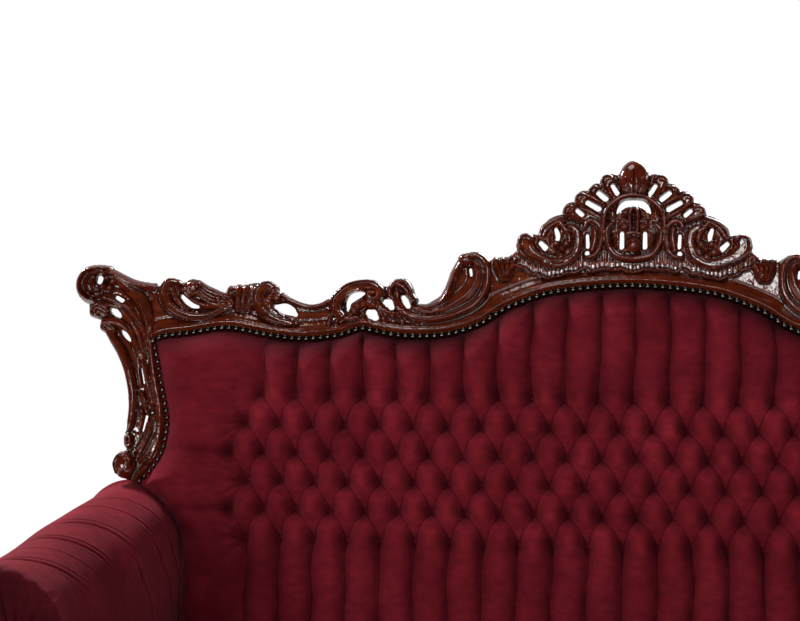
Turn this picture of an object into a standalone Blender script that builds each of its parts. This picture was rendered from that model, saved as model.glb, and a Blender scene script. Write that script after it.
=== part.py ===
"""Baroque three-seat sofa: carved and pierced show-wood back, deep-buttoned velvet, roll arms, loose seats.

Metres, +Z up, +X to the right as seen from the front, +Y to the back. The origin is on the floor,
in the middle of the sofa. The back lies in its own raked plane: x across, v up the slope, w out to the front.
"""

import math

import bmesh
import bpy
from mathutils import Matrix, Vector

# Gap left between pieces that touch
GAP = 0.0003
WELD = 0.000002

# Seat frame
SEAT_WIDTH = 1.56
RAIL_TOP = 0.325
RAIL_HEIGHT = 0.100
RAIL_THICKNESS = 0.040
RAIL_SETBACK = 0.006
LEG_BLOCK = 0.070
FRONT_Y = -0.415
MIDDLE_LEG_X = 0.290
BRACE_THICKNESS = 0.030
BRACE_DROP = 0.030
CORNER_BLOCK = 0.090
CORNER_BLOCK_HEIGHT = 0.060
CORNER_BLOCK_DROP = 0.015
APRON_DROP = 0.055

# Back plane: where it crosses the seat line, and its rake
BACK_Y = 0.220
BACK_Z = 0.450
RAKE = math.radians(12.0)
CARVED_THICKNESS = 0.036
INNER_THICKNESS = 0.035
BOARD_THICKNESS = 0.006
PANEL_THICKNESS = 0.008
STILE_WIDTH = 0.060
STILE_TOP = 0.345
INNER_RAIL_WIDTH = 0.055
BOTTOM_RAIL_V = -0.020
TIE_RAIL_V = 0.480
UPRIGHT_X = 0.400
UPRIGHT_WIDTH = 0.050
PANEL_LAP = 0.020
PANEL_REACH = 0.004
PANEL_RISE = 0.020
REAR_SPLAY = 0.060
REAR_TOE = 0.032

# Carved back frame
CREST_JOINT_X = 0.2470
POST_JOINT_X = 0.8500
FOOT_RISE = 0.0090
ARC_STEP = 0.0075

# Buttoned back
BUTTON_PITCH = 0.0585
ROW_PITCH = 0.0505
TOP_ROW_V = 0.441
BUTTON_ROWS = 6
BUTTON_COLUMNS = 23
PUFF_HEIGHT = 0.062
BUTTON_SINK = 0.034
PLEAT_SINK = 0.016
EDGE_HEIGHT = -0.002
CREASE_ROOM = 0.004
PAD_CORNER_CUT = 0.012

# Nail trim
NAIL_RADIUS = 0.0055

# Arms
ARM_PADDING = 0.040
ARM_ROLL_RADIUS = 0.100
ARM_ROLL_OUT = 0.105
ARM_ROLL_Z = 0.618
ARM_BOARD_RISE = 0.050
ARM_FRONT_Y = -0.388
ARM_TUCK = math.radians(65.0)
ARM_END_ROUND = 0.016
ARM_INNER_ROUND = 0.016
FACING_THICKNESS = 0.022
FACING_RADIUS = 0.055
FACING_STEM_INSET = 0.003
ARM_PANEL_THICKNESS = 0.008

# Seat
SPRING_WIRE = 0.0019
SPRING_COUNT = 9
SPRING_SWING = 0.026
SPRING_LOOPS = 11
DECK_THICKNESS = 0.035
CUSHION_COUNT = 3
CUSHION_THICKNESS = 0.105
CUSHION_CROWN = 0.022
CUSHION_CLEARANCE = 0.004
CUSHION_OVERHANG = 0.012
CUSHION_EDGE_ROUND = 0.012
CUSHION_BACK_ROOM = 0.002
CUSHION_DRAW_IN = 0.007
SQUARENESS = 14
DUST_COVER_THICKNESS = 0.002

# Cabriole leg, as shares of its height from the floor up: outward offset and radius in metres
LEG_RINGS = [
    (0.000, 0.020, 0.0230),
    (0.030, 0.021, 0.0270),
    (0.090, 0.017, 0.0265),
    (0.170, 0.004, 0.0185),
    (0.270, -0.003, 0.0165),
    (0.420, 0.001, 0.0190),
    (0.580, 0.010, 0.0240),
    (0.740, 0.019, 0.0310),
    (0.880, 0.019, 0.0360),
    (0.970, 0.010, 0.0350),
]
RING_POINTS = 16

# Nail line of the right half, from the middle of the top to the arm: (x, v)
NAIL_TOP = [
    (0.000, 0.639), (0.060, 0.636), (0.126, 0.628), (0.164, 0.619), (0.221, 0.596), (0.264, 0.569),
    (0.317, 0.551), (0.370, 0.546), (0.414, 0.548), (0.452, 0.555), (0.471, 0.559), (0.490, 0.554),
    (0.520, 0.545), (0.583, 0.539), (0.646, 0.546), (0.715, 0.557), (0.783, 0.547), (0.830, 0.541),
    (POST_JOINT_X, 0.532),
]
NAIL_SIDE = [
    (POST_JOINT_X, 0.532), (0.841, 0.498), (0.834, 0.465), (0.821, 0.409), (0.818, 0.382),
    (0.825, 0.337), (0.845, 0.302),
]
NAIL_END_X = 0.864

# Worked out
RAIL_BOTTOM = RAIL_TOP - RAIL_HEIGHT
SEAT_HALF = SEAT_WIDTH / 2
SIDE_IN = SEAT_HALF + ARM_PADDING
SIDE_OUT = SIDE_IN + RAIL_THICKNESS
BLOCK_OUT = SIDE_OUT + RAIL_SETBACK
BLOCK_IN = BLOCK_OUT - LEG_BLOCK
BLOCK_BACK_Y = FRONT_Y + LEG_BLOCK
FRONT_RAIL_Y = FRONT_Y + RAIL_SETBACK
FRONT_RAIL_BACK_Y = FRONT_RAIL_Y + RAIL_THICKNESS
LEG_Y = FRONT_Y + LEG_BLOCK / 2
STILE_OUT = SIDE_IN + STILE_WIDTH
INNER_FRONT_W = -CARVED_THICKNESS - GAP
INNER_BACK_W = INNER_FRONT_W - INNER_THICKNESS
PAD_EDGE_GAP = NAIL_RADIUS + GAP
PAD_BACK_W = -CARVED_THICKNESS + BOARD_THICKNESS + GAP
ROLL_X = SEAT_HALF + ARM_ROLL_OUT
ARM_TOP_Z = ARM_ROLL_Z + ARM_ROLL_RADIUS
DECK_BOTTOM = RAIL_TOP + 2 * SPRING_WIRE + 2 * GAP
DECK_TOP = DECK_BOTTOM + DECK_THICKNESS
ARM_TOP_V = (ARM_TOP_Z - BACK_Z) / math.cos(RAKE)
FOOT_V = ARM_TOP_V + FOOT_RISE
PAD_BOTTOM_V = (DECK_TOP + CREASE_ROOM - BACK_Z + CARVED_THICKNESS * math.sin(RAKE)) / math.cos(RAKE)


def back_point(x, v, w):
    """World place of a point of the raked back plane."""
    y = BACK_Y + v * math.sin(RAKE) - w * math.cos(RAKE)
    z = BACK_Z + v * math.cos(RAKE) + w * math.sin(RAKE)
    return Vector((x, y, z))


def back_y(z, w):
    """World y of the layer w of the back at height z."""
    v = (z - BACK_Z - w * math.sin(RAKE)) / math.cos(RAKE)
    return back_point(0.0, v, w).y


REAR_RAIL_Y = back_y(RAIL_TOP, INNER_FRONT_W)


def material(name, colour, roughness, metallic=0.0):
    made = bpy.data.materials.new(name)
    made.use_nodes = True
    shader = made.node_tree.nodes["Principled BSDF"]
    shader.inputs["Base Color"].default_value = (*colour, 1.0)
    shader.inputs["Roughness"].default_value = roughness
    shader.inputs["Metallic"].default_value = metallic
    made.diffuse_color = (*colour, 1.0)
    return made


for old in list(bpy.data.objects):
    bpy.data.objects.remove(old, do_unlink=True)

SOFA = bpy.data.collections.new("baroque_sofa")
bpy.context.scene.collection.children.link(SOFA)

MAHOGANY = material("mahogany", (0.17, 0.035, 0.016), 0.22)
FRAME_WOOD = material("frame_beech", (0.52, 0.36, 0.20), 0.65)
VELVET = material("burgundy_velvet", (0.19, 0.012, 0.020), 0.85)
PLYWOOD = material("plywood", (0.60, 0.44, 0.26), 0.70)
STEEL = material("spring_steel", (0.45, 0.45, 0.46), 0.35, 1.0)
BRONZE = material("antique_bronze", (0.16, 0.10, 0.055), 0.35, 1.0)
LINING = material("black_lining", (0.02, 0.02, 0.02), 0.90)

BACK = bpy.data.objects.new("back_plane", None)
BACK.location = (0.0, BACK_Y, BACK_Z)
BACK.rotation_euler = (math.pi / 2 - RAKE, 0.0, 0.0)
SOFA.objects.link(BACK)


def add(name, data, finish, parent=None):
    """Links a new object for the piece and gives it its finish."""
    piece = bpy.data.objects.new(name, data)
    data.materials.append(finish)
    piece.parent = parent
    SOFA.objects.link(piece)
    return piece


def box(name, low, high, finish, parent=None):
    """A rectangular piece between two corners."""
    low, high = Vector(low), Vector(high)
    shape = bmesh.new()
    size = high - low
    place = Matrix.Translation((low + high) / 2) @ Matrix.Diagonal((*size, 1.0))
    bmesh.ops.create_cube(shape, size=1.0, matrix=place)
    mesh = bpy.data.meshes.new(name)
    shape.to_mesh(mesh)
    shape.free()
    return add(name, mesh, finish, parent)


def arc(start, end, bulge):
    """Points from start up to end, without end, on an arc that rises by bulge to the left of the chord."""
    start, end = Vector(start), Vector(end)
    if bulge == 0:
        return [start]
    chord = end - start
    half = chord.length / 2
    left = Vector((-chord.y, chord.x)).normalized()
    radius = (half * half + bulge * bulge) / (2 * bulge)
    centre = (start + end) / 2 + left * (bulge - radius)
    sweep = 4 * math.atan(bulge / half)
    count = max(2, math.ceil(abs(sweep * radius) / ARC_STEP))
    return [centre + Matrix.Rotation(-sweep * k / count, 2) @ (start - centre) for k in range(count)]


def arcs(points):
    """An open chain of arcs through points of (x, v, bulge to the next point), with its last point."""
    chain = []
    for (x0, v0, bulge), (x1, v1, _) in zip(points, points[1:]):
        chain += arc((x0, v0), (x1, v1), bulge)
    return chain + [Vector(points[-1][:2])]


def smooth_line(points, steps):
    """Points on a smooth curve through the given ones, steps to each span."""
    points = [Vector(p) for p in points]
    padded = [2 * points[0] - points[1], *points, 2 * points[-1] - points[-2]]
    line = []
    for a, b, c, d in zip(padded, padded[1:], padded[2:], padded[3:]):
        for k in range(steps):
            t = k / steps
            line.append(
                0.5 * (2 * b + (c - a) * t + (2 * a - 5 * b + 4 * c - d) * t**2 + (3 * b - a - 3 * c + d) * t**3)
            )
    return line + [points[-1]]


def oval(x, v, length, width, turn):
    """An oval piercing, its long axis turned by degrees from the x axis."""
    count = 10
    spin = Matrix.Rotation(math.radians(turn), 2)
    loop = []
    for k in range(count):
        angle = 2 * math.pi * k / count
        loop.append(Vector((x, v)) + spin @ Vector((length / 2 * math.cos(angle), width / 2 * math.sin(angle))))
    return loop


def mirrored(loop):
    return [Vector((-p.x, p.y)) for p in loop]


def flat_mesh(name, loops, thickness):
    """A flat outline with its piercings, as thick as given, around its own plane."""
    curve = bpy.data.curves.new(name, "CURVE")
    curve.dimensions = "2D"
    curve.fill_mode = "BOTH"
    curve.extrude = thickness / 2
    for loop in loops:
        spline = curve.splines.new("POLY")
        spline.points.add(len(loop) - 1)
        for point, place in zip(spline.points, loop):
            point.co = (place[0], place[1], 0.0, 1.0)
        spline.use_cyclic_u = True
    outline = bpy.data.objects.new(name + "_outline", curve)
    SOFA.objects.link(outline)
    bpy.context.view_layer.update()
    mesh = bpy.data.meshes.new_from_object(outline.evaluated_get(bpy.context.evaluated_depsgraph_get()))
    mesh.name = name
    bpy.data.objects.remove(outline)
    shape = bmesh.new()
    shape.from_mesh(mesh)
    bmesh.ops.remove_doubles(shape, verts=shape.verts, dist=WELD)
    bmesh.ops.recalc_face_normals(shape, faces=shape.faces)
    shape.to_mesh(mesh)
    shape.free()
    mesh.materials.clear()
    return mesh


def back_plate(name, loops, front_w, back_w, finish):
    """A flat piece of the back, between two layers of the raked plane."""
    piece = add(name, flat_mesh(name, loops, front_w - back_w), finish, BACK)
    piece.location.z = (front_w + back_w) / 2
    return piece


def front_plate(name, loops, front_y, back_y_, finish):
    """A flat upright piece facing the front: its outline is (x, z)."""
    piece = add(name, flat_mesh(name, loops, back_y_ - front_y), finish)
    piece.rotation_euler.x = math.pi / 2
    piece.location.y = (front_y + back_y_) / 2
    return piece


def side_plate(name, loop, x_low, x_high, finish):
    """A flat upright piece facing sideways: its outline is (y, z)."""
    piece = add(name, flat_mesh(name, [loop], x_high - x_low), finish)
    piece.rotation_euler = (math.pi / 2, 0.0, math.pi / 2)
    piece.location.x = (x_low + x_high) / 2
    return piece


def top_plate(name, loop, z_low, z_high, finish):
    """A flat level piece: its outline is (x, y)."""
    piece = add(name, flat_mesh(name, [loop], z_high - z_low), finish)
    piece.location.z = (z_low + z_high) / 2
    return piece


def loft(name, rings, finish, parent=None):
    """A closed skin over rings that have equal counts of points, with a flat face at each end."""
    shape = bmesh.new()
    rows = [[shape.verts.new(p) for p in ring] for ring in rings]
    for low, high in zip(rows, rows[1:]):
        for k in range(len(low)):
            following = (k + 1) % len(low)
            shape.faces.new((low[k], low[following], high[following], high[k]))
    shape.faces.new(rows[0][::-1])
    shape.faces.new(rows[-1])
    bmesh.ops.recalc_face_normals(shape, faces=shape.faces)
    mesh = bpy.data.meshes.new(name)
    shape.to_mesh(mesh)
    shape.free()
    return add(name, mesh, finish, parent)


def tube(name, points, radius, finish, parent=None, sides=1):
    """A wire or bead along a chain of points."""
    curve = bpy.data.curves.new(name, "CURVE")
    curve.dimensions = "3D"
    curve.bevel_depth = radius
    curve.bevel_resolution = sides
    curve.use_fill_caps = True
    spline = curve.splines.new("POLY")
    spline.points.add(len(points) - 1)
    for point, place in zip(spline.points, points):
        point.co = (*place, 1.0)
    return add(name, curve, finish, parent)


def sided(name, side):
    return name + ("_right" if side > 0 else "_left")


# Nail line

SIDE_LINE = NAIL_SIDE + [(NAIL_END_X, FOOT_V)]


def nail_line(low_x, high_x):
    """The part of the top nail line between two distances from the middle."""
    line = smooth_line(NAIL_TOP, 3)
    inside = [p for p in line if low_x < p.x < high_x]
    return [Vector((low_x, nail_v(low_x)))] + inside + [Vector((high_x, nail_v(high_x)))]


def nail_v(x):
    """Height of the top nail line at a distance from the middle."""
    line = smooth_line(NAIL_TOP, 3)
    for a, b in zip(line, line[1:]):
        if a.x <= x <= b.x:
            return a.y + (b.y - a.y) * (x - a.x) / (b.x - a.x)
    return line[-1].y


def nail_x(v):
    """Distance of the side nail line from the middle at height v."""
    line = smooth_line(SIDE_LINE, 3)
    for a, b in zip(line, line[1:]):
        if b.y <= v <= a.y:
            return a.x + (b.x - a.x) * (a.y - v) / (a.y - b.y)
    return line[-1].x


# Carved back frame


def crest():
    """Middle of the back: shell petal, rays and volutes over the rail, round a pierced medallion."""
    half = arcs([
        (0.000, 0.856, 0.006),
        (0.028, 0.838, 0.009),
        (0.056, 0.822, 0.006),
        (0.080, 0.810, 0.008),
        (0.104, 0.790, 0.007),
        (0.127, 0.767, 0.008),
        (0.168, 0.731, 0.012),
        (0.202, 0.706, -0.002),
        (0.220, 0.691, 0.002),
        (CREST_JOINT_X - GAP, 0.686, 0.0),
    ])
    lower = nail_line(0.0, CREST_JOINT_X - GAP)[::-1]
    half += lower
    outline = half + mirrored(half[1:-1])[::-1]
    pierced = [
        oval(0.031, 0.811, 0.018, 0.007, 66.0),
        oval(0.055, 0.799, 0.022, 0.008, 46.0),
        oval(0.070, 0.783, 0.028, 0.009, 35.0),
        oval(0.095, 0.770, 0.018, 0.007, 40.0),
        oval(0.079, 0.722, 0.026, 0.007, 90.0),
        oval(0.133, 0.732, 0.022, 0.008, 60.0),
        oval(0.157, 0.710, 0.018, 0.013, 40.0),
        oval(0.019, 0.721, 0.028, 0.008, 90.0),
    ]
    pierced += [mirrored(loop) for loop in pierced]
    crescent = arcs([(-0.033, 0.768, 0.026), (0.033, 0.768, -0.012), (-0.033, 0.768, 0.0)])
    loops = [outline, crescent[:-1], *pierced]
    back_plate("crest", loops, 0.0, -CARVED_THICKNESS, MAHOGANY)


def top_rail(side):
    """Carved rail of C- and S-scrolls between the crest and the post."""
    upper = arcs([
        (CREST_JOINT_X + GAP, 0.686, 0.0165),
        (0.309, 0.677, -0.0155),
        (0.371, 0.603, 0.0),
        (0.378, 0.617, 0.022),
        (0.432, 0.637, 0.0205),
        (0.528, 0.614, -0.017),
        (0.619, 0.622, 0.0135),
        (0.695, 0.635, 0.0065),
        (0.722, 0.624, 0.0),
        (0.746, 0.623, 0.012),
        (0.801, 0.641, 0.008),
        (0.841, 0.635, 0.0),
        (POST_JOINT_X - GAP, 0.635, 0.0),
    ])
    outline = upper + nail_line(CREST_JOINT_X + GAP, POST_JOINT_X - GAP)[::-1]
    loops = [
        outline,
        oval(0.284, 0.663, 0.012, 0.006, 90.0),
        oval(0.399, 0.610, 0.024, 0.015, 60.0),
        oval(0.429, 0.603, 0.024, 0.018, 0.0),
        oval(0.457, 0.586, 0.022, 0.020, 0.0),
        oval(0.488, 0.607, 0.036, 0.020, 50.0),
        oval(0.612, 0.592, 0.038, 0.017, 25.0),
        oval(0.787, 0.604, 0.036, 0.017, 155.0),
    ]
    if side < 0:
        loops = [mirrored(loop) for loop in loops]
    back_plate(sided("top_rail", side), loops, 0.0, -CARVED_THICKNESS, MAHOGANY)


def back_post(side):
    """Carved side of the back: ear volute, leaf lobes, pierced post and a scroll foot over the arm."""
    outer = arcs([
        (POST_JOINT_X + GAP, 0.635, -0.002),
        (0.898, 0.642, -0.003),
        (0.944, 0.666, 0.042),
        (0.975, 0.603, 0.010),
        (0.952, 0.568, 0.005),
        (0.935, 0.546, -0.010),
        (0.890, 0.425, 0.0),
        (0.892, FOOT_V + 0.099, 0.006),
        (0.894, FOOT_V + 0.056, 0.017),
        (0.901, FOOT_V + 0.006, 0.004),
        (NAIL_END_X, FOOT_V, 0.0),
    ])
    inner = smooth_line(SIDE_LINE, 2)[1:-1][::-1]
    corner = Vector((POST_JOINT_X + GAP, NAIL_SIDE[0][1]))
    loops = [
        outer + inner + [corner],
        oval(0.958, 0.645, 0.011, 0.011, 0.0),
        oval(0.917, 0.607, 0.016, 0.011, 20.0),
        oval(0.924, 0.583, 0.022, 0.015, 40.0),
        oval(0.903, 0.542, 0.023, 0.016, 60.0),
        oval(0.866, 0.469, 0.026, 0.006, 80.0),
        oval(0.860, FOOT_V + 0.101, 0.028, 0.006, 80.0),
    ]
    if side < 0:
        loops = [mirrored(loop) for loop in loops]
    back_plate(sided("back_post", side), loops, 0.0, -CARVED_THICKNESS, MAHOGANY)


def back_nail_trim():
    """One bead of nails along the edge of the back upholstery, up one side, over and down the other."""
    half = smooth_line(NAIL_TOP, 2)[:-1] + smooth_line(SIDE_LINE, 2)
    line = mirrored(half[1:])[::-1] + half
    seat_w = NAIL_RADIUS * math.cos(math.pi / 6) + GAP
    tube("back_nail_trim", [(p.x, p.y, seat_w) for p in line], NAIL_RADIUS, BRONZE, BACK)


# Back structure


def back_opening():
    """Right half of the outline that the upholstery fills: bottom middle, out, up the side, over the top."""
    lower_x = SEAT_HALF - GAP
    step_v = ARM_TOP_V + CREASE_ROOM
    side = [p for p in smooth_line(SIDE_LINE, 2)[::-1] if p.y > FOOT_V + CREASE_ROOM]
    side = [Vector((p.x - PAD_EDGE_GAP, p.y)) for p in side[:-1]]
    top = [Vector((p.x, p.y - PAD_EDGE_GAP)) for p in nail_line(0.0, POST_JOINT_X - PAD_CORNER_CUT)[::-1]]
    low = [Vector((0.0, PAD_BOTTOM_V)), Vector((lower_x, PAD_BOTTOM_V)), Vector((lower_x, step_v))]
    return low + side + top


def back_board():
    half = back_opening()
    outline = half + mirrored(half[1:-1])[::-1]
    board_front = -CARVED_THICKNESS + BOARD_THICKNESS
    back_plate("back_board", [outline], board_front, -CARVED_THICKNESS, PLYWOOD)


def back_pad():
    """Deep-buttoned pad: diamond puffs between buttons, pleats to the nails above and to the seat below."""
    rows = [TOP_ROW_V - ROW_PITCH * k for k in range(BUTTON_ROWS)][::-1]
    step_v = ARM_TOP_V + CREASE_ROOM
    edge_x = SEAT_HALF - GAP
    reach = (BUTTON_COLUMNS - 1) // 2 * 2 + 1
    half_pitch = BUTTON_PITCH / 2
    levels = [PAD_BOTTOM_V, (PAD_BOTTOM_V + rows[0]) / 2, *rows, None]
    columns = list(range(-reach - 2, reach + 3))
    shape = bmesh.new()
    grid = bmesh.ops.create_grid(shape, x_segments=len(columns) - 1, y_segments=len(levels) - 1, size=0.5)
    order = sorted(grid["verts"], key=lambda p: (round(p.co.y, 4), p.co.x))
    for index, vert in enumerate(order):
        row, k = divmod(index, len(columns))
        column = columns[k]
        side = math.copysign(1.0, column)
        level = levels[row]
        edge = edge_x
        if level is None or level > step_v:
            edge = nail_x(level if level is not None else NAIL_SIDE[0][1]) - PAD_EDGE_GAP
        inner = reach * half_pitch
        if abs(column) <= reach:
            x = column * half_pitch
        elif abs(column) == reach + 1:
            x = side * (inner + edge) / 2
        else:
            x = side * edge
        v = level if level is not None else nail_v(min(abs(x), POST_JOINT_X)) - PAD_EDGE_GAP
        on_button = abs(column) <= reach and (column + row - 1) % 2 == BUTTON_ROWS % 2
        w = PUFF_HEIGHT
        if 2 <= row < 2 + BUTTON_ROWS and on_button:
            w -= BUTTON_SINK
        elif row < 2 and abs(column) <= reach and (column + 1) % 2 == BUTTON_ROWS % 2:
            w -= PLEAT_SINK
        if level is None or abs(column) > reach + 1:
            w = EDGE_HEIGHT
        vert.co = (x, v, w)
    front = list(shape.faces)
    pushed = bmesh.ops.extrude_face_region(shape, geom=front)
    back_verts = [g for g in pushed["geom"] if isinstance(g, bmesh.types.BMVert)]
    for vert in back_verts:
        vert.co.z = PAD_BACK_W
    back_faces = [g for g in pushed["geom"] if isinstance(g, bmesh.types.BMFace)]
    bmesh.ops.dissolve_faces(shape, faces=back_faces)
    fold_along_buttons(shape)
    bmesh.ops.recalc_face_normals(shape, faces=shape.faces)
    mesh = bpy.data.meshes.new("back_pad")
    shape.to_mesh(mesh)
    shape.free()
    add("back_pad", mesh, VELVET, BACK)


def fold_along_buttons(shape):
    """Splits each four-sided puff face along its lower diagonal, so that the fold runs from button to button."""
    for face in [f for f in shape.faces if len(f.verts) == 4]:
        corners = list(face.verts)
        if min(c.co.z for c in corners) <= PAD_BACK_W + GAP:
            continue
        first = corners[0].co.z + corners[2].co.z
        second = corners[1].co.z + corners[3].co.z
        pair = (corners[0], corners[2]) if first <= second else (corners[1], corners[3])
        bmesh.utils.face_split(face, *pair)


def back_structure():
    """Hidden frame behind the carving: two rails between the stiles, uprights, and the outside cover."""
    reach = SIDE_IN - GAP
    rails = {"back_bottom_rail": BOTTOM_RAIL_V, "back_tie_rail": TIE_RAIL_V}
    for name, low_v in rails.items():
        low = (-reach, low_v, INNER_BACK_W)
        high = (reach, low_v + INNER_RAIL_WIDTH, INNER_FRONT_W)
        box(name, low, high, FRAME_WOOD, BACK)
    low_v = BOTTOM_RAIL_V + INNER_RAIL_WIDTH + GAP
    uprights = {"back_upright_left": -UPRIGHT_X, "back_upright_middle": 0.0, "back_upright_right": UPRIGHT_X}
    for name, x in uprights.items():
        low = (x - UPRIGHT_WIDTH / 2, low_v, INNER_BACK_W)
        high = (x + UPRIGHT_WIDTH / 2, TIE_RAIL_V - GAP, INNER_FRONT_W)
        box(name, low, high, FRAME_WOOD, BACK)
    panel_x = STILE_OUT + PANEL_REACH
    panel_low = (RAIL_TOP + PANEL_RISE - BACK_Z) / math.cos(RAKE)
    front = INNER_BACK_W - GAP
    top = [Vector((p.x, p.y + PANEL_LAP)) for p in nail_line(0.0, POST_JOINT_X - GAP)]
    side = [Vector((x + PANEL_LAP, v)) for x, v in NAIL_SIDE[1:] if v > STILE_TOP + PANEL_LAP]
    side.append(Vector((side[-1].x, STILE_TOP + PANEL_LAP)))
    foot = [Vector((panel_x, STILE_TOP)), Vector((panel_x, panel_low)), Vector((0.0, panel_low))]
    half = top + side + foot
    outline = half + mirrored(half[1:-1])[::-1]
    back_plate("back_outer_panel", [outline], front, front - PANEL_THICKNESS, VELVET)


def back_stile(side):
    """Rear corner leg that runs on up behind the carved post."""
    rail_back = REAR_RAIL_Y + INNER_THICKNESS / math.cos(RAKE)
    top_front = back_point(0.0, STILE_TOP, INNER_FRONT_W)
    top_back = back_point(0.0, STILE_TOP, INNER_BACK_W)
    toe = rail_back + REAR_SPLAY
    middle = RAIL_BOTTOM / 2
    bow = REAR_SPLAY / 3
    loop = [
        (toe - REAR_TOE, 0.0),
        (toe, 0.0),
        (rail_back + bow, middle),
        (rail_back, RAIL_BOTTOM),
        (rail_back, RAIL_TOP),
        (top_back.y, top_back.z),
        (top_front.y, top_front.z),
        (REAR_RAIL_Y, RAIL_TOP),
        (REAR_RAIL_Y, RAIL_BOTTOM),
        (REAR_RAIL_Y + bow, middle),
    ]
    low, high = sorted((side * SIDE_IN, side * STILE_OUT))
    side_plate(sided("back_stile", side), loop, low, high, MAHOGANY)


# Seat frame


def front_seat_rail():
    """Front rail with a carved lower edge: a shell drop in the middle and a swell in each outer bay."""
    reach = BLOCK_IN - GAP
    pad = LEG_BLOCK / 2 + 0.010
    bay_in = MIDDLE_LEG_X + pad
    bay = reach - bay_in
    low = RAIL_BOTTOM
    half = arcs([
        (0.0, low - APRON_DROP, -0.006),
        (0.048, low - 0.75 * APRON_DROP, -0.006),
        (0.095, low - 0.40 * APRON_DROP, -0.004),
        (0.150, low - 0.16 * APRON_DROP, 0.006),
        (MIDDLE_LEG_X - pad, low, 0.0),
        (bay_in, low, 0.006),
        (bay_in + 0.25 * bay, low - 0.25 * APRON_DROP, -0.007),
        (bay_in + 0.50 * bay, low - 0.50 * APRON_DROP, -0.007),
        (bay_in + 0.75 * bay, low - 0.25 * APRON_DROP, 0.006),
        (reach - 0.2 * APRON_DROP, low, 0.0),
        (reach, low, 0.0),
        (reach, RAIL_TOP, 0.0),
        (0.0, RAIL_TOP, 0.0),
    ])
    outline = half + mirrored(half[1:-1])[::-1]
    front_plate("front_seat_rail", [outline], FRONT_RAIL_Y, FRONT_RAIL_BACK_Y, MAHOGANY)


def seat_frame():
    """Rails, cross braces and corner blocks."""
    front_seat_rail()
    back_low = (-SIDE_IN + GAP, REAR_RAIL_Y, RAIL_BOTTOM)
    back_high = (SIDE_IN - GAP, REAR_RAIL_Y + RAIL_THICKNESS, RAIL_TOP)
    box("back_seat_rail", back_low, back_high, FRAME_WOOD)
    inner_front = FRONT_RAIL_BACK_Y + GAP
    inner_back = REAR_RAIL_Y - GAP
    for side in (-1, 1):
        low_x, high_x = sorted((side * SIDE_IN, side * SIDE_OUT))
        low = (low_x, BLOCK_BACK_Y + GAP, RAIL_BOTTOM)
        box(sided("side_seat_rail", side), low, (high_x, inner_back, RAIL_TOP), MAHOGANY)
        brace_x = side * MIDDLE_LEG_X
        low = (brace_x - BRACE_THICKNESS / 2, inner_front, RAIL_BOTTOM)
        high = (brace_x + BRACE_THICKNESS / 2, inner_back, RAIL_TOP - BRACE_DROP)
        box(sided("seat_brace", side), low, high, FRAME_WOOD)
        edge = side * (SIDE_IN - GAP)
        rear = [
            (edge, inner_back),
            (edge - side * CORNER_BLOCK, inner_back),
            (edge, inner_back - CORNER_BLOCK),
        ]
        block_low = RAIL_TOP - CORNER_BLOCK_DROP - CORNER_BLOCK_HEIGHT
        block_high = RAIL_TOP - CORNER_BLOCK_DROP
        top_plate(sided("corner_block_rear", side), rear, block_low, block_high, FRAME_WOOD)
        front = [
            (edge, BLOCK_BACK_Y + GAP),
            (edge, BLOCK_BACK_Y + CORNER_BLOCK),
            (edge - side * CORNER_BLOCK, inner_front),
            (side * (BLOCK_IN - GAP), inner_front),
            (side * (BLOCK_IN - GAP), BLOCK_BACK_Y + GAP),
        ]
        top_plate(sided("corner_block_front", side), front, block_low, block_high, FRAME_WOOD)
    cover_low = (-BLOCK_IN + GAP, BLOCK_BACK_Y + GAP, RAIL_BOTTOM - GAP - DUST_COVER_THICKNESS)
    cover_high = (BLOCK_IN - GAP, inner_back, RAIL_BOTTOM - GAP)
    box("dust_cover", cover_low, cover_high, LINING)


def ring(x, y, z, half, square):
    """A level ring of points round a place: a circle, or a square of that half width."""
    points = []
    for k in range(RING_POINTS):
        angle = 2 * math.pi * k / RING_POINTS
        c, s = math.cos(angle), math.sin(angle)
        reach = half / max(abs(c), abs(s)) if square else half
        points.append((x + reach * c, y + reach * s, z))
    return points


def cabriole_leg(name, x, outward, block_top):
    """Cabriole leg: square block, swelling knee, thin ankle and a toe that turns out."""
    top = RAIL_BOTTOM - GAP
    direction = Vector(outward).normalized()
    rings = []
    for share, offset, radius in LEG_RINGS:
        rings.append(ring(x + offset * direction.x, LEG_Y + offset * direction.y, share * top, radius, False))
    half = LEG_BLOCK / 2
    rings.append(ring(x, LEG_Y, top, half, True))
    if block_top > top:
        rings.append(ring(x, LEG_Y, block_top, half, True))
    loft(name, rings, MAHOGANY)


def legs():
    for side in (-1, 1):
        corner_x = side * (BLOCK_OUT - LEG_BLOCK / 2)
        cabriole_leg(sided("front_leg", side), corner_x, (side, -1.0), RAIL_TOP)
        cabriole_leg(sided("front_leg_middle", side), side * MIDDLE_LEG_X, (0.0, -1.0), 0.0)
        rear_y = REAR_RAIL_Y + RAIL_THICKNESS / 2
        toe_half = REAR_TOE / 2
        rings = [
            ring(side * MIDDLE_LEG_X, rear_y + REAR_SPLAY, 0.0, toe_half, True),
            ring(side * MIDDLE_LEG_X, rear_y + REAR_SPLAY / 3, RAIL_BOTTOM / 2, toe_half, True),
            ring(side * MIDDLE_LEG_X, rear_y, RAIL_BOTTOM - GAP, RAIL_THICKNESS / 2, True),
        ]
        loft(sided("rear_leg_middle", side), rings, MAHOGANY)


# Arms


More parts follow.
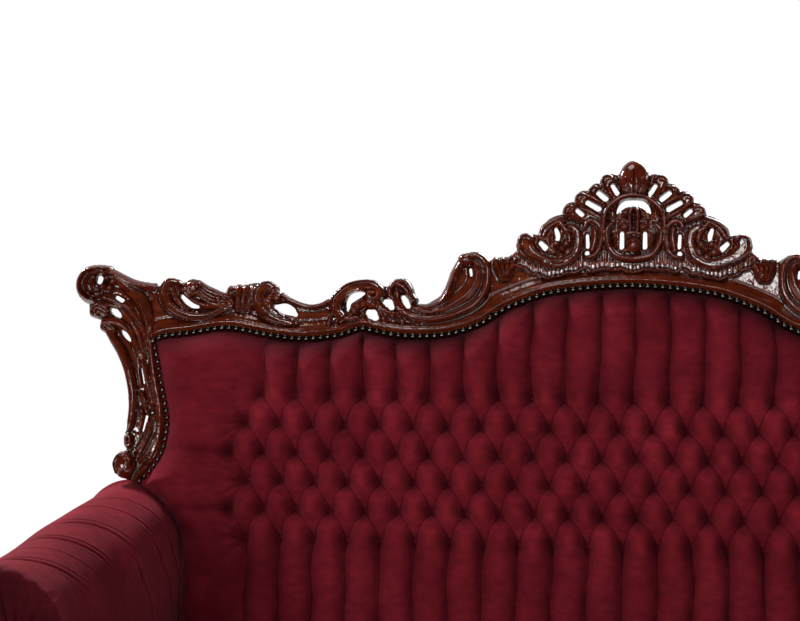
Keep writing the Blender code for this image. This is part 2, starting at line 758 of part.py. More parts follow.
def arm_section():
    """Section of the arm upholstery, (x, z): inner wall, roll over the top, tucked under outside."""
    board_in = SIDE_IN - GAP
    board_out = SIDE_OUT + GAP
    board_top = ARM_ROLL_Z + ARM_BOARD_RISE + GAP
    bottom = RAIL_TOP + GAP
    start = math.pi
    end = -ARM_TUCK
    steps = 14
    section = [Vector((SEAT_HALF, bottom)), Vector((SEAT_HALF, (bottom + ARM_ROLL_Z) / 2))]
    for k in range(steps + 1):
        angle = start + (end - start) * k / steps
        reach = ARM_ROLL_RADIUS
        section.append(Vector((ROLL_X + reach * math.cos(angle), ARM_ROLL_Z + reach * math.sin(angle))))
    tuck_z = section[-1].y
    section += [
        Vector((board_out, tuck_z)),
        Vector((board_out, board_top)),
        Vector((board_in, board_top)),
        Vector((board_in, bottom)),
    ]
    return section


def arm_pad(side):
    """Padded roll arm: rounded in front towards the carved facing, cut to the rake behind."""
    section = arm_section()
    fixed = len(section) - 4
    core = Vector((ROLL_X, ARM_ROLL_Z))
    turn = 1.0 - math.sqrt(0.5)
    rings = []
    for reach, share in ((0.0, 1.0), (turn, turn), (1.0, 0.0)):
        drawn = []
        for k, p in enumerate(section):
            place = p.copy()
            if 1 < k < fixed:
                place += (core - p).normalized() * share * ARM_END_ROUND
            elif k < 2:
                place.x += share * ARM_INNER_ROUND
            drawn.append((side * place.x, ARM_FRONT_Y + reach * ARM_END_ROUND, place.y))
        rings.append(drawn)
    rings.append([(side * p.x, back_y(p.y, INNER_FRONT_W + GAP), p.y) for p in section])
    loft(sided("arm_pad", side), rings, VELVET)


def arm(side):
    """Arm: core board on the side rail, upholstery over it, outside panel and carved front facing."""
    bottom = RAIL_TOP + GAP
    board_top = ARM_ROLL_Z + ARM_BOARD_RISE
    front_w = INNER_FRONT_W + GAP
    outline = [
        (ARM_FRONT_Y, bottom),
        (back_y(bottom, front_w), bottom),
        (back_y(board_top, front_w), board_top),
        (ARM_FRONT_Y, board_top),
    ]
    low, high = sorted((side * SIDE_IN, side * SIDE_OUT))
    side_plate(sided("arm_frame", side), outline, low, high, FRAME_WOOD)
    arm_pad(side)
    tuck_z = ARM_ROLL_Z - ARM_ROLL_RADIUS * math.sin(ARM_TUCK) - GAP
    outline = [
        (ARM_FRONT_Y, bottom),
        (back_y(bottom, front_w), bottom),
        (back_y(tuck_z, front_w), tuck_z),
        (ARM_FRONT_Y, tuck_z),
    ]
    low, high = sorted((side * (SIDE_OUT + GAP), side * (SIDE_OUT + GAP + ARM_PANEL_THICKNESS)))
    side_plate(sided("arm_outer_panel", side), outline, low, high, VELVET)
    arm_facing(side)


def arm_facing(side):
    """Carved front of the arm: a volute on the roll with a stem that stands on the leg block."""
    bottom = RAIL_TOP + GAP
    out_angle, in_angle = math.radians(-52.0), math.radians(222.0)
    steps = 20
    volute = []
    for k in range(steps + 1):
        angle = out_angle + (in_angle - out_angle) * k / steps
        volute.append(Vector((ROLL_X + FACING_RADIUS * math.cos(angle), ARM_ROLL_Z + FACING_RADIUS * math.sin(angle))))
    stem_in = BLOCK_IN + FACING_STEM_INSET
    stem_out = BLOCK_OUT - FACING_STEM_INSET
    inner = arc(volute[-1], (stem_in, bottom), 0.014)[1:]
    outer = arc((stem_out, bottom), volute[0], 0.022)
    loop = volute + inner + [Vector((stem_in, bottom))] + outer
    if side < 0:
        loop = mirrored(loop)
    back = ARM_FRONT_Y - GAP
    front_plate(sided("arm_facing", side), [loop], back - FACING_THICKNESS, back, MAHOGANY)


# Seat


def seat_springs():
    """Sinuous springs from the front rail to the back rail, side by side under the deck."""
    start = FRONT_RAIL_Y + RAIL_THICKNESS / 2
    end = REAR_RAIL_Y + RAIL_THICKNESS / 2
    z = RAIL_TOP + SPRING_WIRE + GAP
    per_loop = 4
    count = SPRING_LOOPS * per_loop
    pitch = SEAT_WIDTH / SPRING_COUNT
    for n in range(SPRING_COUNT):
        x = -SEAT_HALF + pitch * (n + 0.5)
        points = []
        for k in range(count + 1):
            swing = math.sin(2 * math.pi * (k + 0.5) / per_loop) * SPRING_SWING
            points.append((x + swing, start + (end - start) * k / count, z))
        tube(f"seat_spring_{n + 1}", points, SPRING_WIRE, STEEL, sides=0)


def seat_cushion(n):
    """Loose box cushion: flat below, sides drawn in between its welts, crowned on top."""
    room = SEAT_WIDTH - (CUSHION_COUNT + 1) * CUSHION_CLEARANCE
    width = room / CUSHION_COUNT
    x = -SEAT_HALF + CUSHION_CLEARANCE + width / 2 + n * (width + CUSHION_CLEARANCE)
    front = FRONT_Y - CUSHION_OVERHANG
    deepest = PUFF_HEIGHT + CUSHION_BACK_ROOM
    back = min(back_y(DECK_TOP, deepest), back_y(DECK_TOP + CUSHION_THICKNESS, deepest)) - CUSHION_CLEARANCE
    y = (front + back) / 2
    base = DECK_TOP + GAP
    layers = [
        (0.0, CUSHION_EDGE_ROUND),
        (CUSHION_EDGE_ROUND, 0.0),
        (0.50 * CUSHION_THICKNESS, CUSHION_DRAW_IN),
        (CUSHION_THICKNESS - CUSHION_EDGE_ROUND, 0.0),
        (CUSHION_THICKNESS, CUSHION_EDGE_ROUND),
        (CUSHION_THICKNESS + 0.55 * CUSHION_CROWN, 0.070),
        (CUSHION_THICKNESS + 0.90 * CUSHION_CROWN, 0.140),
        (CUSHION_THICKNESS + CUSHION_CROWN, 0.200),
    ]
    rings = []
    for rise, inset in layers:
        drawn = []
        for k in range(2 * RING_POINTS):
            angle = math.pi * k / RING_POINTS
            c, s = math.cos(angle), math.sin(angle)
            corner = (abs(c) ** SQUARENESS + abs(s) ** SQUARENESS) ** (-1 / SQUARENESS)
            half_x = width / 2 - inset
            half_y = (back - front) / 2 - inset
            drawn.append((x + half_x * corner * c, y + half_y * corner * s, base + rise))
        rings.append(drawn)
    names = ("seat_cushion_left", "seat_cushion_middle", "seat_cushion_right")
    loft(names[n], rings, VELVET)


def seat():
    """Springs, sprung deck with its nail trim, and loose cushions."""
    seat_springs()
    deck_back = REAR_RAIL_Y + RAIL_THICKNESS / 2
    box("seat_deck", (-SEAT_HALF + GAP, FRONT_Y, DECK_BOTTOM), (SEAT_HALF - GAP, deck_back, DECK_TOP), VELVET)
    trim_y = FRONT_RAIL_Y - NAIL_RADIUS - GAP
    trim_z = RAIL_TOP - NAIL_RADIUS
    reach = BLOCK_IN - GAP
    tube("seat_nail_trim", [(-reach, trim_y, trim_z), (reach, trim_y, trim_z)], NAIL_RADIUS, BRONZE)
    for n in range(CUSHION_COUNT):
        seat_cushion(n)


seat_frame()
legs()
crest()
for hand in (-1, 1):
    top_rail(hand)
    back_post(hand)
    back_stile(hand)
    arm(hand)
back_structure()
back_board()
back_pad()
back_nail_trim()
seat()
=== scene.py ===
"""The baroque sofa as it looks: carved mahogany, buttoned burgundy velvet, bronze nails.

X is to the right as seen from the front, Y to the back and Z up, in metres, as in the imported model.
The carved pieces are reliefs on the raked back plane, where a point has x, v (up the slope) and w (to the
front). Carving lines are given for one side in millimetres, x from the sofa's middle and v up the slope.
"""

import math

import bpy
import numpy as np
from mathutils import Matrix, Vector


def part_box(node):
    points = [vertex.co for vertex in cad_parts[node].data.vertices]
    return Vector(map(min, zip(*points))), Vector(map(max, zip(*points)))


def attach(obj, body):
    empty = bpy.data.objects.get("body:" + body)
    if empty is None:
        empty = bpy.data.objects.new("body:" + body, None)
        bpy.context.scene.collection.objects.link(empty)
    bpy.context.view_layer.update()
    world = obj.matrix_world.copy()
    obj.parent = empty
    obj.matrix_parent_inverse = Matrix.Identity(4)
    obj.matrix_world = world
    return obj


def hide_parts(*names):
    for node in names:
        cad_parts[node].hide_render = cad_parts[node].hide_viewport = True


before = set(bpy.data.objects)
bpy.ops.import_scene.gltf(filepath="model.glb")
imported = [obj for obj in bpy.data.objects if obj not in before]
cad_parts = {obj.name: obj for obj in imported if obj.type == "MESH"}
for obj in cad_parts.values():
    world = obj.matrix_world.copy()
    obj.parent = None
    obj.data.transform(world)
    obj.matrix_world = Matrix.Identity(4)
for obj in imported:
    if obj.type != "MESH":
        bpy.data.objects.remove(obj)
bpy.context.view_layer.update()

MM = 0.001
RIGHT = np.array([1.0, 0.0, 0.0])
FRONT = np.array([0.0, -1.0, 0.0])
UP = np.array([0.0, 0.0, 1.0])

# Back plane, as in the solid model
BACK_Y = 0.220
BACK_Z = 0.450
RAKE = math.radians(12.0)
UP_SLOPE = np.array([0.0, math.sin(RAKE), math.cos(RAKE)])
OFF_SLOPE = np.array([0.0, -math.cos(RAKE), math.sin(RAKE)])
CARVED_THICKNESS = 0.036
CREST_JOINT = 0.247
POST_JOINT = 0.850
JOINT_GAP = 0.0001
CREST_END = CREST_JOINT - JOINT_GAP / 2
RAIL_START = CREST_JOINT + JOINT_GAP / 2
RAIL_END = POST_JOINT - JOINT_GAP / 2
POST_START = POST_JOINT + JOINT_GAP / 2

# Carving
GRID = 0.0014
PLATE_LEVEL = -0.0055
STROKE_BASE = -0.004
MOAT_WIDTH = 0.0026
MOAT_DEPTH = 0.0016
MERGE = 0.0016
FILL_REACH = 6
FILL_DROP = 0.0042
EDGE_ROUND = 0.0050
EDGE_DROP = 0.0050
EDGE_THICKNESS = 0.014
THINNEST = 0.004
BEVEL_REACH = 0.016
CARVED_CREASE = math.radians(62.0)
# How hollows are told from ridges, for the painted shade in hollows and the wood's tone:
# cells that the mean is taken over, height that counts as full
RECESS_CELLS = 4
RECESS_HEIGHT = 0.006
PLAIN_RECESS = 0.60


def on_back(x, v, w):
    """World points of back-plane places: up the raked slope by v and out to the front by w."""
    y = BACK_Y + v * math.sin(RAKE) - w * math.cos(RAKE)
    z = BACK_Z + v * math.cos(RAKE) + w * math.sin(RAKE)
    return np.stack([x + 0 * y, y, z], axis=-1)


def bell(off, width):
    """A bell curve: 1 in the middle, falling off over the width."""
    return np.exp(-(off / width) ** 2)


def hand(side):
    """Left or right, as seen from the front."""
    return "left" if side < 0 else "right"


def both_sides(half):
    """A closed outline from its right half, mirrored on the sofa's middle."""
    return np.vstack([half, half[::-1] * [-1, 1]])


# Meshes

def mesh_object(name, points, faces, smooth=True, values=None):
    """A mesh object at the origin from points and four-cornered faces.

    A face that repeats its last corner is a triangle. Values are numbers that the points carry, by name.
    """
    mesh = bpy.data.meshes.new(name)
    points = np.asarray(points, float).reshape(-1, 3)
    faces = np.asarray(faces, np.int32)
    sides = np.where(faces[:, 3] == faces[:, 2], 3, 4).astype(np.int32)
    loops = faces[np.arange(4) < sides[:, None]]
    mesh.vertices.add(len(points))
    mesh.vertices.foreach_set("co", points.ravel())
    mesh.loops.add(len(loops))
    mesh.loops.foreach_set("vertex_index", loops)
    mesh.polygons.add(len(faces))
    mesh.polygons.foreach_set("loop_start", np.cumsum(sides, dtype=np.int32) - sides)
    mesh.polygons.foreach_set("loop_total", sides)
    mesh.polygons.foreach_set("use_smooth", np.full(len(faces), smooth))
    mesh.update(calc_edges=True)
    mesh.validate()
    for key, value in (values or {}).items():
        layer = mesh.attributes.new(key, "FLOAT", "POINT")
        layer.data.foreach_set("value", np.asarray(value, np.float32).ravel())
    obj = bpy.data.objects.new(name, mesh)
    bpy.context.scene.collection.objects.link(obj)
    return obj


def place(obj, body, material, nodes=()):
    """The piece rides on a body, takes a finish and stands for its CAD nodes."""
    obj.data.materials.clear()
    obj.data.materials.append(material)
    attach(obj, body)
    if nodes:
        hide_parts(*nodes)
    return obj


# Materials

# Sockets of a mix node that mixes colours: factor and two colours
MIX_INPUTS = (0, 6, 7)
MIX_RESULT = 2


def node_material(name):
    """A new material with its node tree and main shader."""
    mat = bpy.data.materials.new(name)
    mat.use_nodes = True
    tree = mat.node_tree
    return mat, tree, tree.nodes["Principled BSDF"]


def feed(tree, socket, value):
    """An input takes another node's output, a number or a colour."""
    if hasattr(value, "is_linked"):
        tree.links.new(value, socket)
    else:
        socket.default_value = (*value, 1.0) if isinstance(value, tuple) else value


def feed_all(tree, node, values):
    """A node's inputs take values by their names."""
    for name, value in values.items():
        feed(tree, node.inputs[name], value)


def attribute(tree, name):
    """A number that the mesh carries at its points."""
    node = tree.nodes.new("ShaderNodeAttribute")
    node.attribute_name = name
    return node.outputs["Fac"]


def ramp(tree, factor, stops):
    """The colour that a factor gives on a ramp of stops (position, (r, g, b))."""
    node = tree.nodes.new("ShaderNodeValToRGB")
    band = node.color_ramp
    while len(band.elements) < len(stops):
        band.elements.new(1.0)
    for element, (position, colour) in zip(band.elements, stops):
        element.position = position
        element.color = (*colour, 1.0)
    tree.links.new(factor, node.inputs["Fac"])
    return node.outputs["Color"]


def mapped(tree, **settings):
    """Object coordinates through a mapping with the given settings."""
    coords = tree.nodes.new("ShaderNodeTexCoord")
    mapping = tree.nodes.new("ShaderNodeMapping")
    for name, value in settings.items():
        mapping.inputs[name].default_value = value
    tree.links.new(coords.outputs["Object"], mapping.inputs["Vector"])
    return mapping.outputs["Vector"]


def object_noise(tree, scale, stretch=(1, 1, 1), detail=4.0, roughness=0.55):
    """Noise on object coordinates, stretched along the axes."""
    noise = tree.nodes.new("ShaderNodeTexNoise")
    feed_all(tree, noise, {"Vector": mapped(tree, Scale=stretch), "Scale": scale, "Detail": detail,
                           "Roughness": roughness})
    return noise.outputs["Fac"]


def math_node(tree, operation, *values):
    """The result of a math node on sockets or plain numbers."""
    node = tree.nodes.new("ShaderNodeMath")
    node.operation = operation
    for socket, value in zip(node.inputs, values):
        feed(tree, socket, value)
    return node.outputs[0]


def mix_colour(tree, kind, factor, first, second):
    """A colour mix; factor and colours are sockets or plain values."""
    node = tree.nodes.new("ShaderNodeMix")
    node.data_type = "RGBA"
    node.blend_type = kind
    for index, value in zip(MIX_INPUTS, (factor, first, second)):
        feed(tree, node.inputs[index], value)
    return node.outputs[MIX_RESULT]


def multiplied(tree, first, second):
    """One colour times another."""
    return mix_colour(tree, "MULTIPLY", 1.0, first, second)


def bumped(tree, shader, *layers):
    """Unevenness from layers of (noise, strength, distance), each laid on the one before."""
    normal = None
    for noise, strength, distance in layers:
        bump = tree.nodes.new("ShaderNodeBump")
        feed_all(tree, bump, {"Height": noise, "Strength": strength, "Distance": distance})
        if normal:
            tree.links.new(normal, bump.inputs["Normal"])
        normal = bump.outputs["Normal"]
    tree.links.new(normal, shader.inputs["Normal"])
    return normal


def varnished_mahogany(name, carved):
    """Red-brown mahogany with a long grain under a glossy, slightly wavy varnish.

    On a carved piece the hollows are darkened by painted shade, the flats are warm and the ridges redder.
    """
    mat, tree, shader = node_material(name)
    grain = object_noise(tree, 14.0, (1.0, 6.0, 9.0), 6.0, 0.6)
    surface = ramp(tree, grain, [(0.25, (0.030, 0.0034, 0.0011)), (0.55, (0.068, 0.0080, 0.0018)),
                                 (0.80, (0.150, 0.0270, 0.0050))])
    if carved:
        # Painted shade darkens the hollows; the flats and ridges get the wood's warmer and redder tone
        hollow_shade_and_tone = ramp(tree, attribute(tree, "recess"),
                     [(0.08, (0.26, 0.20, 0.20)), (0.34, (0.62, 0.56, 0.55)), (0.48, (1.25, 1.40, 1.20)),
                      (0.62, (0.92, 0.84, 0.84)), (0.90, (0.95, 0.80, 0.85))])
        surface = multiplied(tree, surface, hollow_shade_and_tone)
    feed_all(tree, shader, {"Base Color": surface, "Roughness": 0.45, "Specular IOR Level": 0.02,
                            "Coat Weight": 1.0 if carved else 0.6, "Coat Roughness": 0.05})
    waves = object_noise(tree, 62.0, detail=3.0)
    pores = object_noise(tree, 150.0, detail=3.0)
    wave_strength, pore_strength = (0.40, 0.10) if carved else (0.12, 0.03)
    normal = bumped(tree, shader, (waves, wave_strength, 0.0030), (pores, pore_strength, 0.0012))
    tree.links.new(normal, shader.inputs["Coat Normal"])
    return mat


# Painted shade on the buttoned velvet where no fold lines show
PLAIN_SHADE = (0.85, 0.83, 0.84)
# Painted shade: the colour multiplied in where it is full, and where there is none
SHADE_COLOUR = (0.22, 0.24, 0.24)
UNSHADED_COLOUR = (1.0, 1.0, 1.0)
SHEEN_TINT = (0.85, 0.19, 0.25)


def fold_lines(tree):
    """Painted shade in thin dark lines where a fold count passes a whole number, and painted light on the
    puffs between them, where fold_dark is 1.

    Elsewhere the colour is painted a little darker.
    """
    waves = [math_node(tree, "SINE", math_node(tree, "MULTIPLY", attribute(tree, key), math.pi))
             for key in ("fold_one", "fold_two")]
    near = math_node(tree, "MINIMUM", *[math_node(tree, "ABSOLUTE", wave) for wave in waves])
    # Painted shade along the fold lines, painted light on the puffs between them
    band = ramp(tree, near,
                [(0.02, (0.52, 0.48, 0.50)), (0.08, (0.94, 0.93, 0.93)), (0.20, (1.15, 1.16, 1.16))])
    return mix_colour(tree, "MIX", attribute(tree, "fold_dark"), PLAIN_SHADE, band)


def burgundy_velvet(name, folded=False):
    """Crimson velvet: nap in patches that lie lighter or darker, a red sheen at grazing angles, fine pile.

    Where the mesh's shade attribute is 1, the colour and the sheen are darkened by painted shade.
    """
    mat, tree, shader = node_material(name)
    nap = object_noise(tree, 11.0, detail=5.0, roughness=0.62)
    colour = ramp(tree, nap, [(0.25, (0.070, 0.0040, 0.0074)), (0.52, (0.108, 0.0066, 0.0120)),
                              (0.80, (0.150, 0.0102, 0.0178))])
    brushed = object_noise(tree, 60.0, (0.6, 1.0, 1.6), 4.0, 0.66)
    patches = ramp(tree, brushed, [(0.30, (0.78, 0.75, 0.76)), (0.70, (1.16, 1.17, 1.17))])
    surface = multiplied(tree, colour, patches)
    if folded:
        surface = multiplied(tree, surface, fold_lines(tree))
    # Painted shade from the mesh's shade attribute, on the colour and on the sheen tint
    shade = mix_colour(tree, "MIX", attribute(tree, "painted_shade"), UNSHADED_COLOUR, SHADE_COLOUR)
    feed_all(tree, shader, {"Base Color": multiplied(tree, surface, shade), "Roughness": 0.88,
                            "Specular IOR Level": 0.03, "Sheen Weight": 0.15, "Sheen Roughness": 0.40,
                            "Sheen Tint": multiplied(tree, SHEEN_TINT, shade)})
    wrinkles = object_noise(tree, 70.0, (0.5, 1.0, 2.4), 3.0)
    pile = object_noise(tree, 900.0, detail=2.0)
    bumped(tree, shader, (wrinkles, 0.25, 0.0022), (pile, 0.15, 0.0006))
    return mat


def metal(name, patch_scale, stops, roughness):
    """A metal whose colour goes by patches of noise."""
    mat, tree, shader = node_material(name)
    patches = object_noise(tree, patch_scale, detail=3.0)
    feed_all(tree, shader,
             {"Base Color": ramp(tree, patches, stops), "Metallic": 1.0, "Roughness": roughness})
    return mat


def antique_bronze(name):
    """Dark antique bronze, rubbed bright in spots."""
    return metal(name, 160.0, [(0.30, (0.032, 0.028, 0.024)), (0.75, (0.105, 0.094, 0.080))], 0.24)


MAHOGANY = varnished_mahogany("varnished_mahogany", False)
CARVED_MAHOGANY = varnished_mahogany("carved_mahogany", True)
VELVET = burgundy_velvet("burgundy_velvet")
BUTTONED_VELVET = burgundy_velvet("buttoned_velvet", True)
BRONZE = antique_bronze("antique_bronze")


# Outlines, as in the solid model

NAIL_TOP = [(0, 639), (60, 636), (126, 628), (164, 619), (221, 596), (264, 569), (317, 551), (370, 546),
            (414, 548), (452, 555), (471, 559), (490, 554), (520, 545), (583, 539), (646, 546), (715, 557),
            (783, 547), (830, 541), (850, 532)]
NAIL_SIDE = [(850, 532), (841, 498), (834, 465), (821, 409), (818, 382), (825, 337), (845, 302), (864, 282)]
CREST_TOP = [(0, 856, 6), (28, 838, 9), (56, 822, 6), (80, 810, 8), (104, 790, 7), (127, 767, 8),
             (168, 731, 12), (202, 706, -2), (220, 691, 2), (247, 686, 0)]
RAIL_TOP = [(247, 686, 16), (309, 677, -15), (371, 603, 0), (378, 617, 22), (432, 637, 20), (528, 614, -17),
            (619, 622, 13), (695, 635, 6), (722, 624, 0), (746, 623, 12), (801, 641, 8), (841, 635, 0),
            (850, 635, 0)]
POST_OUTER = [(850, 635, -2), (898, 642, -3), (944, 666, 42), (975, 603, 10), (952, 568, 5),
              (935, 546, -10), (890, 425, 0), (892, 381, 6), (894, 338, 17), (901, 288, 4), (864, 282, 0)]


def arc_run(rows, steps=7):
    """Points along a run of arcs; each row is (x, v, bulge to the left of the way to the next row)."""
    rows = np.asarray(rows, float)
    start, end, bulge = rows[:-1, :2], rows[1:, :2], rows[:-1, 2]
    t = np.linspace(0, 1, steps, endpoint=False)[None, :, None]
    way = end - start
    left = np.stack([-way[:, 1], way[:, 0]], -1) / np.hypot(way[:, 0], way[:, 1])[:, None]
    points = start[:, None] + way[:, None] * t + left[:, None] * (4 * bulge[:, None, None] * t * (1 - t))
    return np.vstack([points.reshape(-1, 2), rows[-1:, :2]])


def smooth_rows(rows, step=4.0):
    """A smooth curve through rows of numbers, by cubic spans; the first two columns are the place."""
    rows = np.asarray(rows, float)
    ends = np.vstack([2 * rows[0] - rows[1], rows, 2 * rows[-1] - rows[-2]])
    spans = []
    for a, b, c, d in zip(ends, ends[1:], ends[2:], ends[3:]):
        count = max(2, math.ceil(math.dist(b[:2], c[:2]) / step))
        t = (np.arange(count) / count)[:, None]
        spans.append(b + 0.5 * t * (c - a + t * (2 * a - 5 * b + 4 * c - d + t * (3 * b - a - 3 * c + d))))
    return np.vstack(spans + [rows[-1:]])


def nearest(x, v, line):
    """Distance from each point to a line, its side, the length passed and the line's third column there."""
    best = np.full(x.shape, np.inf)
    side, along, half = np.zeros(x.shape), np.zeros(x.shape), np.zeros(x.shape)
    passed = 0.0
    for (x0, v0, h0), (x1, v1, h1) in zip(line[:-1], line[1:]):
        dx, dv = x1 - x0, v1 - v0
        length = max(math.hypot(dx, dv), 1e-9)
        t = np.clip(((x - x0) * dx + (v - v0) * dv) / length ** 2, 0, 1)
        off_x, off_v = x - x0 - t * dx, v - v0 - t * dv
        distance = np.hypot(off_x, off_v)
        nearer = distance < best
        best = np.where(nearer, distance, best)
        side = np.where(nearer, np.sign(dx * off_v - dv * off_x), side)
        along = np.where(nearer, passed + t * length, along)
        half = np.where(nearer, h0 + t * (h1 - h0), half)
        passed += length
    return best, side, along, half


def inside_depth(x, v, outline):
    """Signed distance to a closed outline, positive inside."""
    closed = np.vstack([outline, outline[:1]])
    distance = nearest(x, v, np.column_stack([closed, np.zeros(len(closed))]))[0]
    crossings = np.zeros(x.shape, int)
    for (x0, v0), (x1, v1) in zip(closed[:-1], closed[1:]):
        if v0 != v1:
            crosses = (v0 > v) != (v1 > v)
            crossings += crosses & (x < x0 + (v - v0) * (x1 - x0) / (v1 - v0))
    return np.where(crossings % 2 == 1, distance, -distance)


def relief(form, t, along):
    """Height of a carved section, 0 to 1, at t from -1 to 1 across it.

    A ridge is sharp with hollow flanks, a scoop is a hollow between two thin rims, a petal is a cup with a
    rim, a leaf has a midrib and slanting veins, ribs are rounded side by side, and a bead is a half round.
    """
    off = np.abs(t)
    dome = np.sqrt(np.clip(1 - t * t, 0, 1))
    if form == "ridge":
        return 0.70 * np.clip(1 - off, 0, 1) ** 1.25 + 0.30 * dome
    if form == "scoop":
        return dome ** 0.7 * (0.42 + 0.58 * bell(off - 0.76, 0.20))
    if form == "petal":
        return dome ** 0.6 * (0.38 + 0.62 * bell(off - 0.78, 0.17))
    if form == "leaf":
        veins = np.cos(2 * math.pi * (along / 0.011 + 0.7 * off))
        return dome * (0.74 + 0.16 * veins + 0.18 * bell(t, 0.16))
    if form.startswith("ribs"):
        ridge = np.abs(np.sin(0.5 * math.pi * int(form[4:]) * (t + 1)))
        return dome ** 0.8 * (0.50 + 0.50 * ridge ** 0.7)
    return dome ** 0.9


def blurred(values, reach):
    """Mean over a square of reach cells each way."""
    for axis in (0, 1):
        padding = [(0, 0), (0, 0)]
        padding[axis] = (reach + 1, reach)
        total = np.cumsum(np.pad(values, padding, mode="edge"), axis=axis)
        width = 2 * reach + 1
        upper = np.take(total, np.arange(width, total.shape[axis]), axis=axis)
        lower = np.take(total, np.arange(0, total.shape[axis] - width), axis=axis)
        values = (upper - lower) / width
    return values


class Carving:
    """A relief on a flat grid: the height of its face, and how deep each point is inside the outline."""

    def __init__(self, low, high, grid=GRID):
        """An even grid from low to high, at plate level and outside any outline."""
        columns = max(2, round((high[0] - low[0]) / grid))
        rows = max(2, round((high[1] - low[1]) / grid))
        self.x, self.v = np.meshgrid(np.linspace(low[0], high[0], columns + 1),
                                     np.linspace(low[1], high[1], rows + 1), indexing="ij")
        self.height = np.full(self.x.shape, PLATE_LEVEL)
        self.depth = np.full(self.x.shape, -1.0)

    def near(self, rows, reach):
        """The part of the grid that lies within reach of the rows' places."""
        low = rows[:, :2].min(axis=0) - reach
        high = rows[:, :2].max(axis=0) + reach
        i0, i1 = np.searchsorted(self.x[:, 0], [low[0], high[0]])
        j0, j1 = np.searchsorted(self.v[0], [low[1], high[1]])
        return slice(i0, i1), slice(j0, j1)

    def across(self, points, wide=1.0, reach=MOAT_WIDTH):
        """A stroke's own part of the grid, with its offset share, length passed and depth inside."""
        line = smooth_rows(points) * [MM, MM, MM * wide]
        part = self.near(line, line[:, 2].max() + reach)
        distance, side, along, half = nearest(self.x[part], self.v[part], line)
        return part, side * distance / half, along, half - distance

    def plate(self, outline, level, inset=0.0):
        """The board itself, at its own level."""
        depth = inside_depth(self.x, self.v, np.asarray(outline) * MM) - inset
        self.height = np.where(depth > 0, np.maximum(self.height, level), self.height)
        self.depth = np.maximum(self.depth, depth)

    def raise_part(self, part, depth, level):
        """The higher of a new form and what is there, with a narrow trench round the new form."""
        trench = MOAT_DEPTH * np.clip(1 + depth / MOAT_WIDTH, 0, 1) ** 2
        old = self.height[part]
        share = np.clip(0.5 + 0.5 * (level - old) / MERGE, 0, 1)
        joined = old + (level - old) * share + MERGE * share * (1 - share)
        self.height[part] = np.where(depth > 0, joined, old - trench)
        self.depth[part] = np.maximum(self.depth[part], depth)

    def stroke(self, form, rise, *points, wide=1.0):
        """A carved form of one section along a line of (x, v, half-width) in millimetres."""
        part, t, along, depth = self.across(points, wide)
        self.raise_part(part, depth, STROKE_BASE + rise * MM * relief(form, t, along))

    def dome(self, rise, x, v, rx, rv):
        """A rounded boss."""
        centre = np.array([[x, v]]) * MM
        part = self.near(centre, max(rx, rv) * MM + MOAT_WIDTH)
        share = np.hypot((self.x[part] - x * MM) / (rx * MM), (self.v[part] - v * MM) / (rv * MM))
        level = STROKE_BASE + rise * MM * np.sqrt(np.clip(1 - share ** 2, 0, 1))
        self.raise_part(part, (1 - share) * min(rx, rv) * MM, level)

    def groove(self, sink, *points):
        """A gouge cut along a line."""
        part, t, _, _ = self.across(points)
        self.height[part] -= sink * MM * np.clip(1 - t * t, 0, 1)

    def pierce(self, *slots):
        """Slots cut right through, each along its own line."""
        for points in slots:
            part, _, _, depth = self.across(points, reach=BEVEL_REACH)
            self.depth[part] = np.minimum(self.depth[part], -depth)

    def body(self, name, mirror=1.0, joints=(), both=False, to_world=on_back, thickness=CARVED_THICKNESS):
        """The closed carved piece: its face, its bevelled back and the walls between them."""
        rounding = np.clip(self.depth / EDGE_ROUND, 0, 1)
        filled = np.maximum(self.height, blurred(self.height, FILL_REACH) - FILL_DROP)
        height = filled - EDGE_DROP * (1 - rounding) ** 2
        recess = np.clip(0.5 + (height - blurred(height, RECESS_CELLS)) / RECESS_HEIGHT, 0, 1)
        bevel = np.clip(self.depth / BEVEL_REACH, 0, 1)
        thin = min(EDGE_THICKNESS, thickness)
        back = -thin - (thickness - thin) * bevel * bevel * (3 - 2 * bevel)
        fields = [self.x, self.v, self.depth, height, recess, np.minimum(back, height - THINNEST)]
        if both:
            signs = (-1, 1, 1, 1, 1, 1)
            fields = [np.concatenate([sign * field[:0:-1], field]) for sign, field in zip(signs, fields)]
        x, v, depth, height, recess, back = fields
        obj = relief_mesh(name, x, v, depth, height, {"recess": recess}, back, mirror, joints, to_world)
        obj.data.set_sharp_from_angle(angle=CARVED_CREASE)
        return obj

    def pair(self, piece, **form):
        """The carved piece on both sides of the sofa, each in place of its own node."""
        for side in (-1, 1):
            obj = self.body(f"{piece}_carving_{hand(side)}", side, **form)
            place(obj, "sofa", CARVED_MAHOGANY, [f"{piece}_{hand(side)}"])


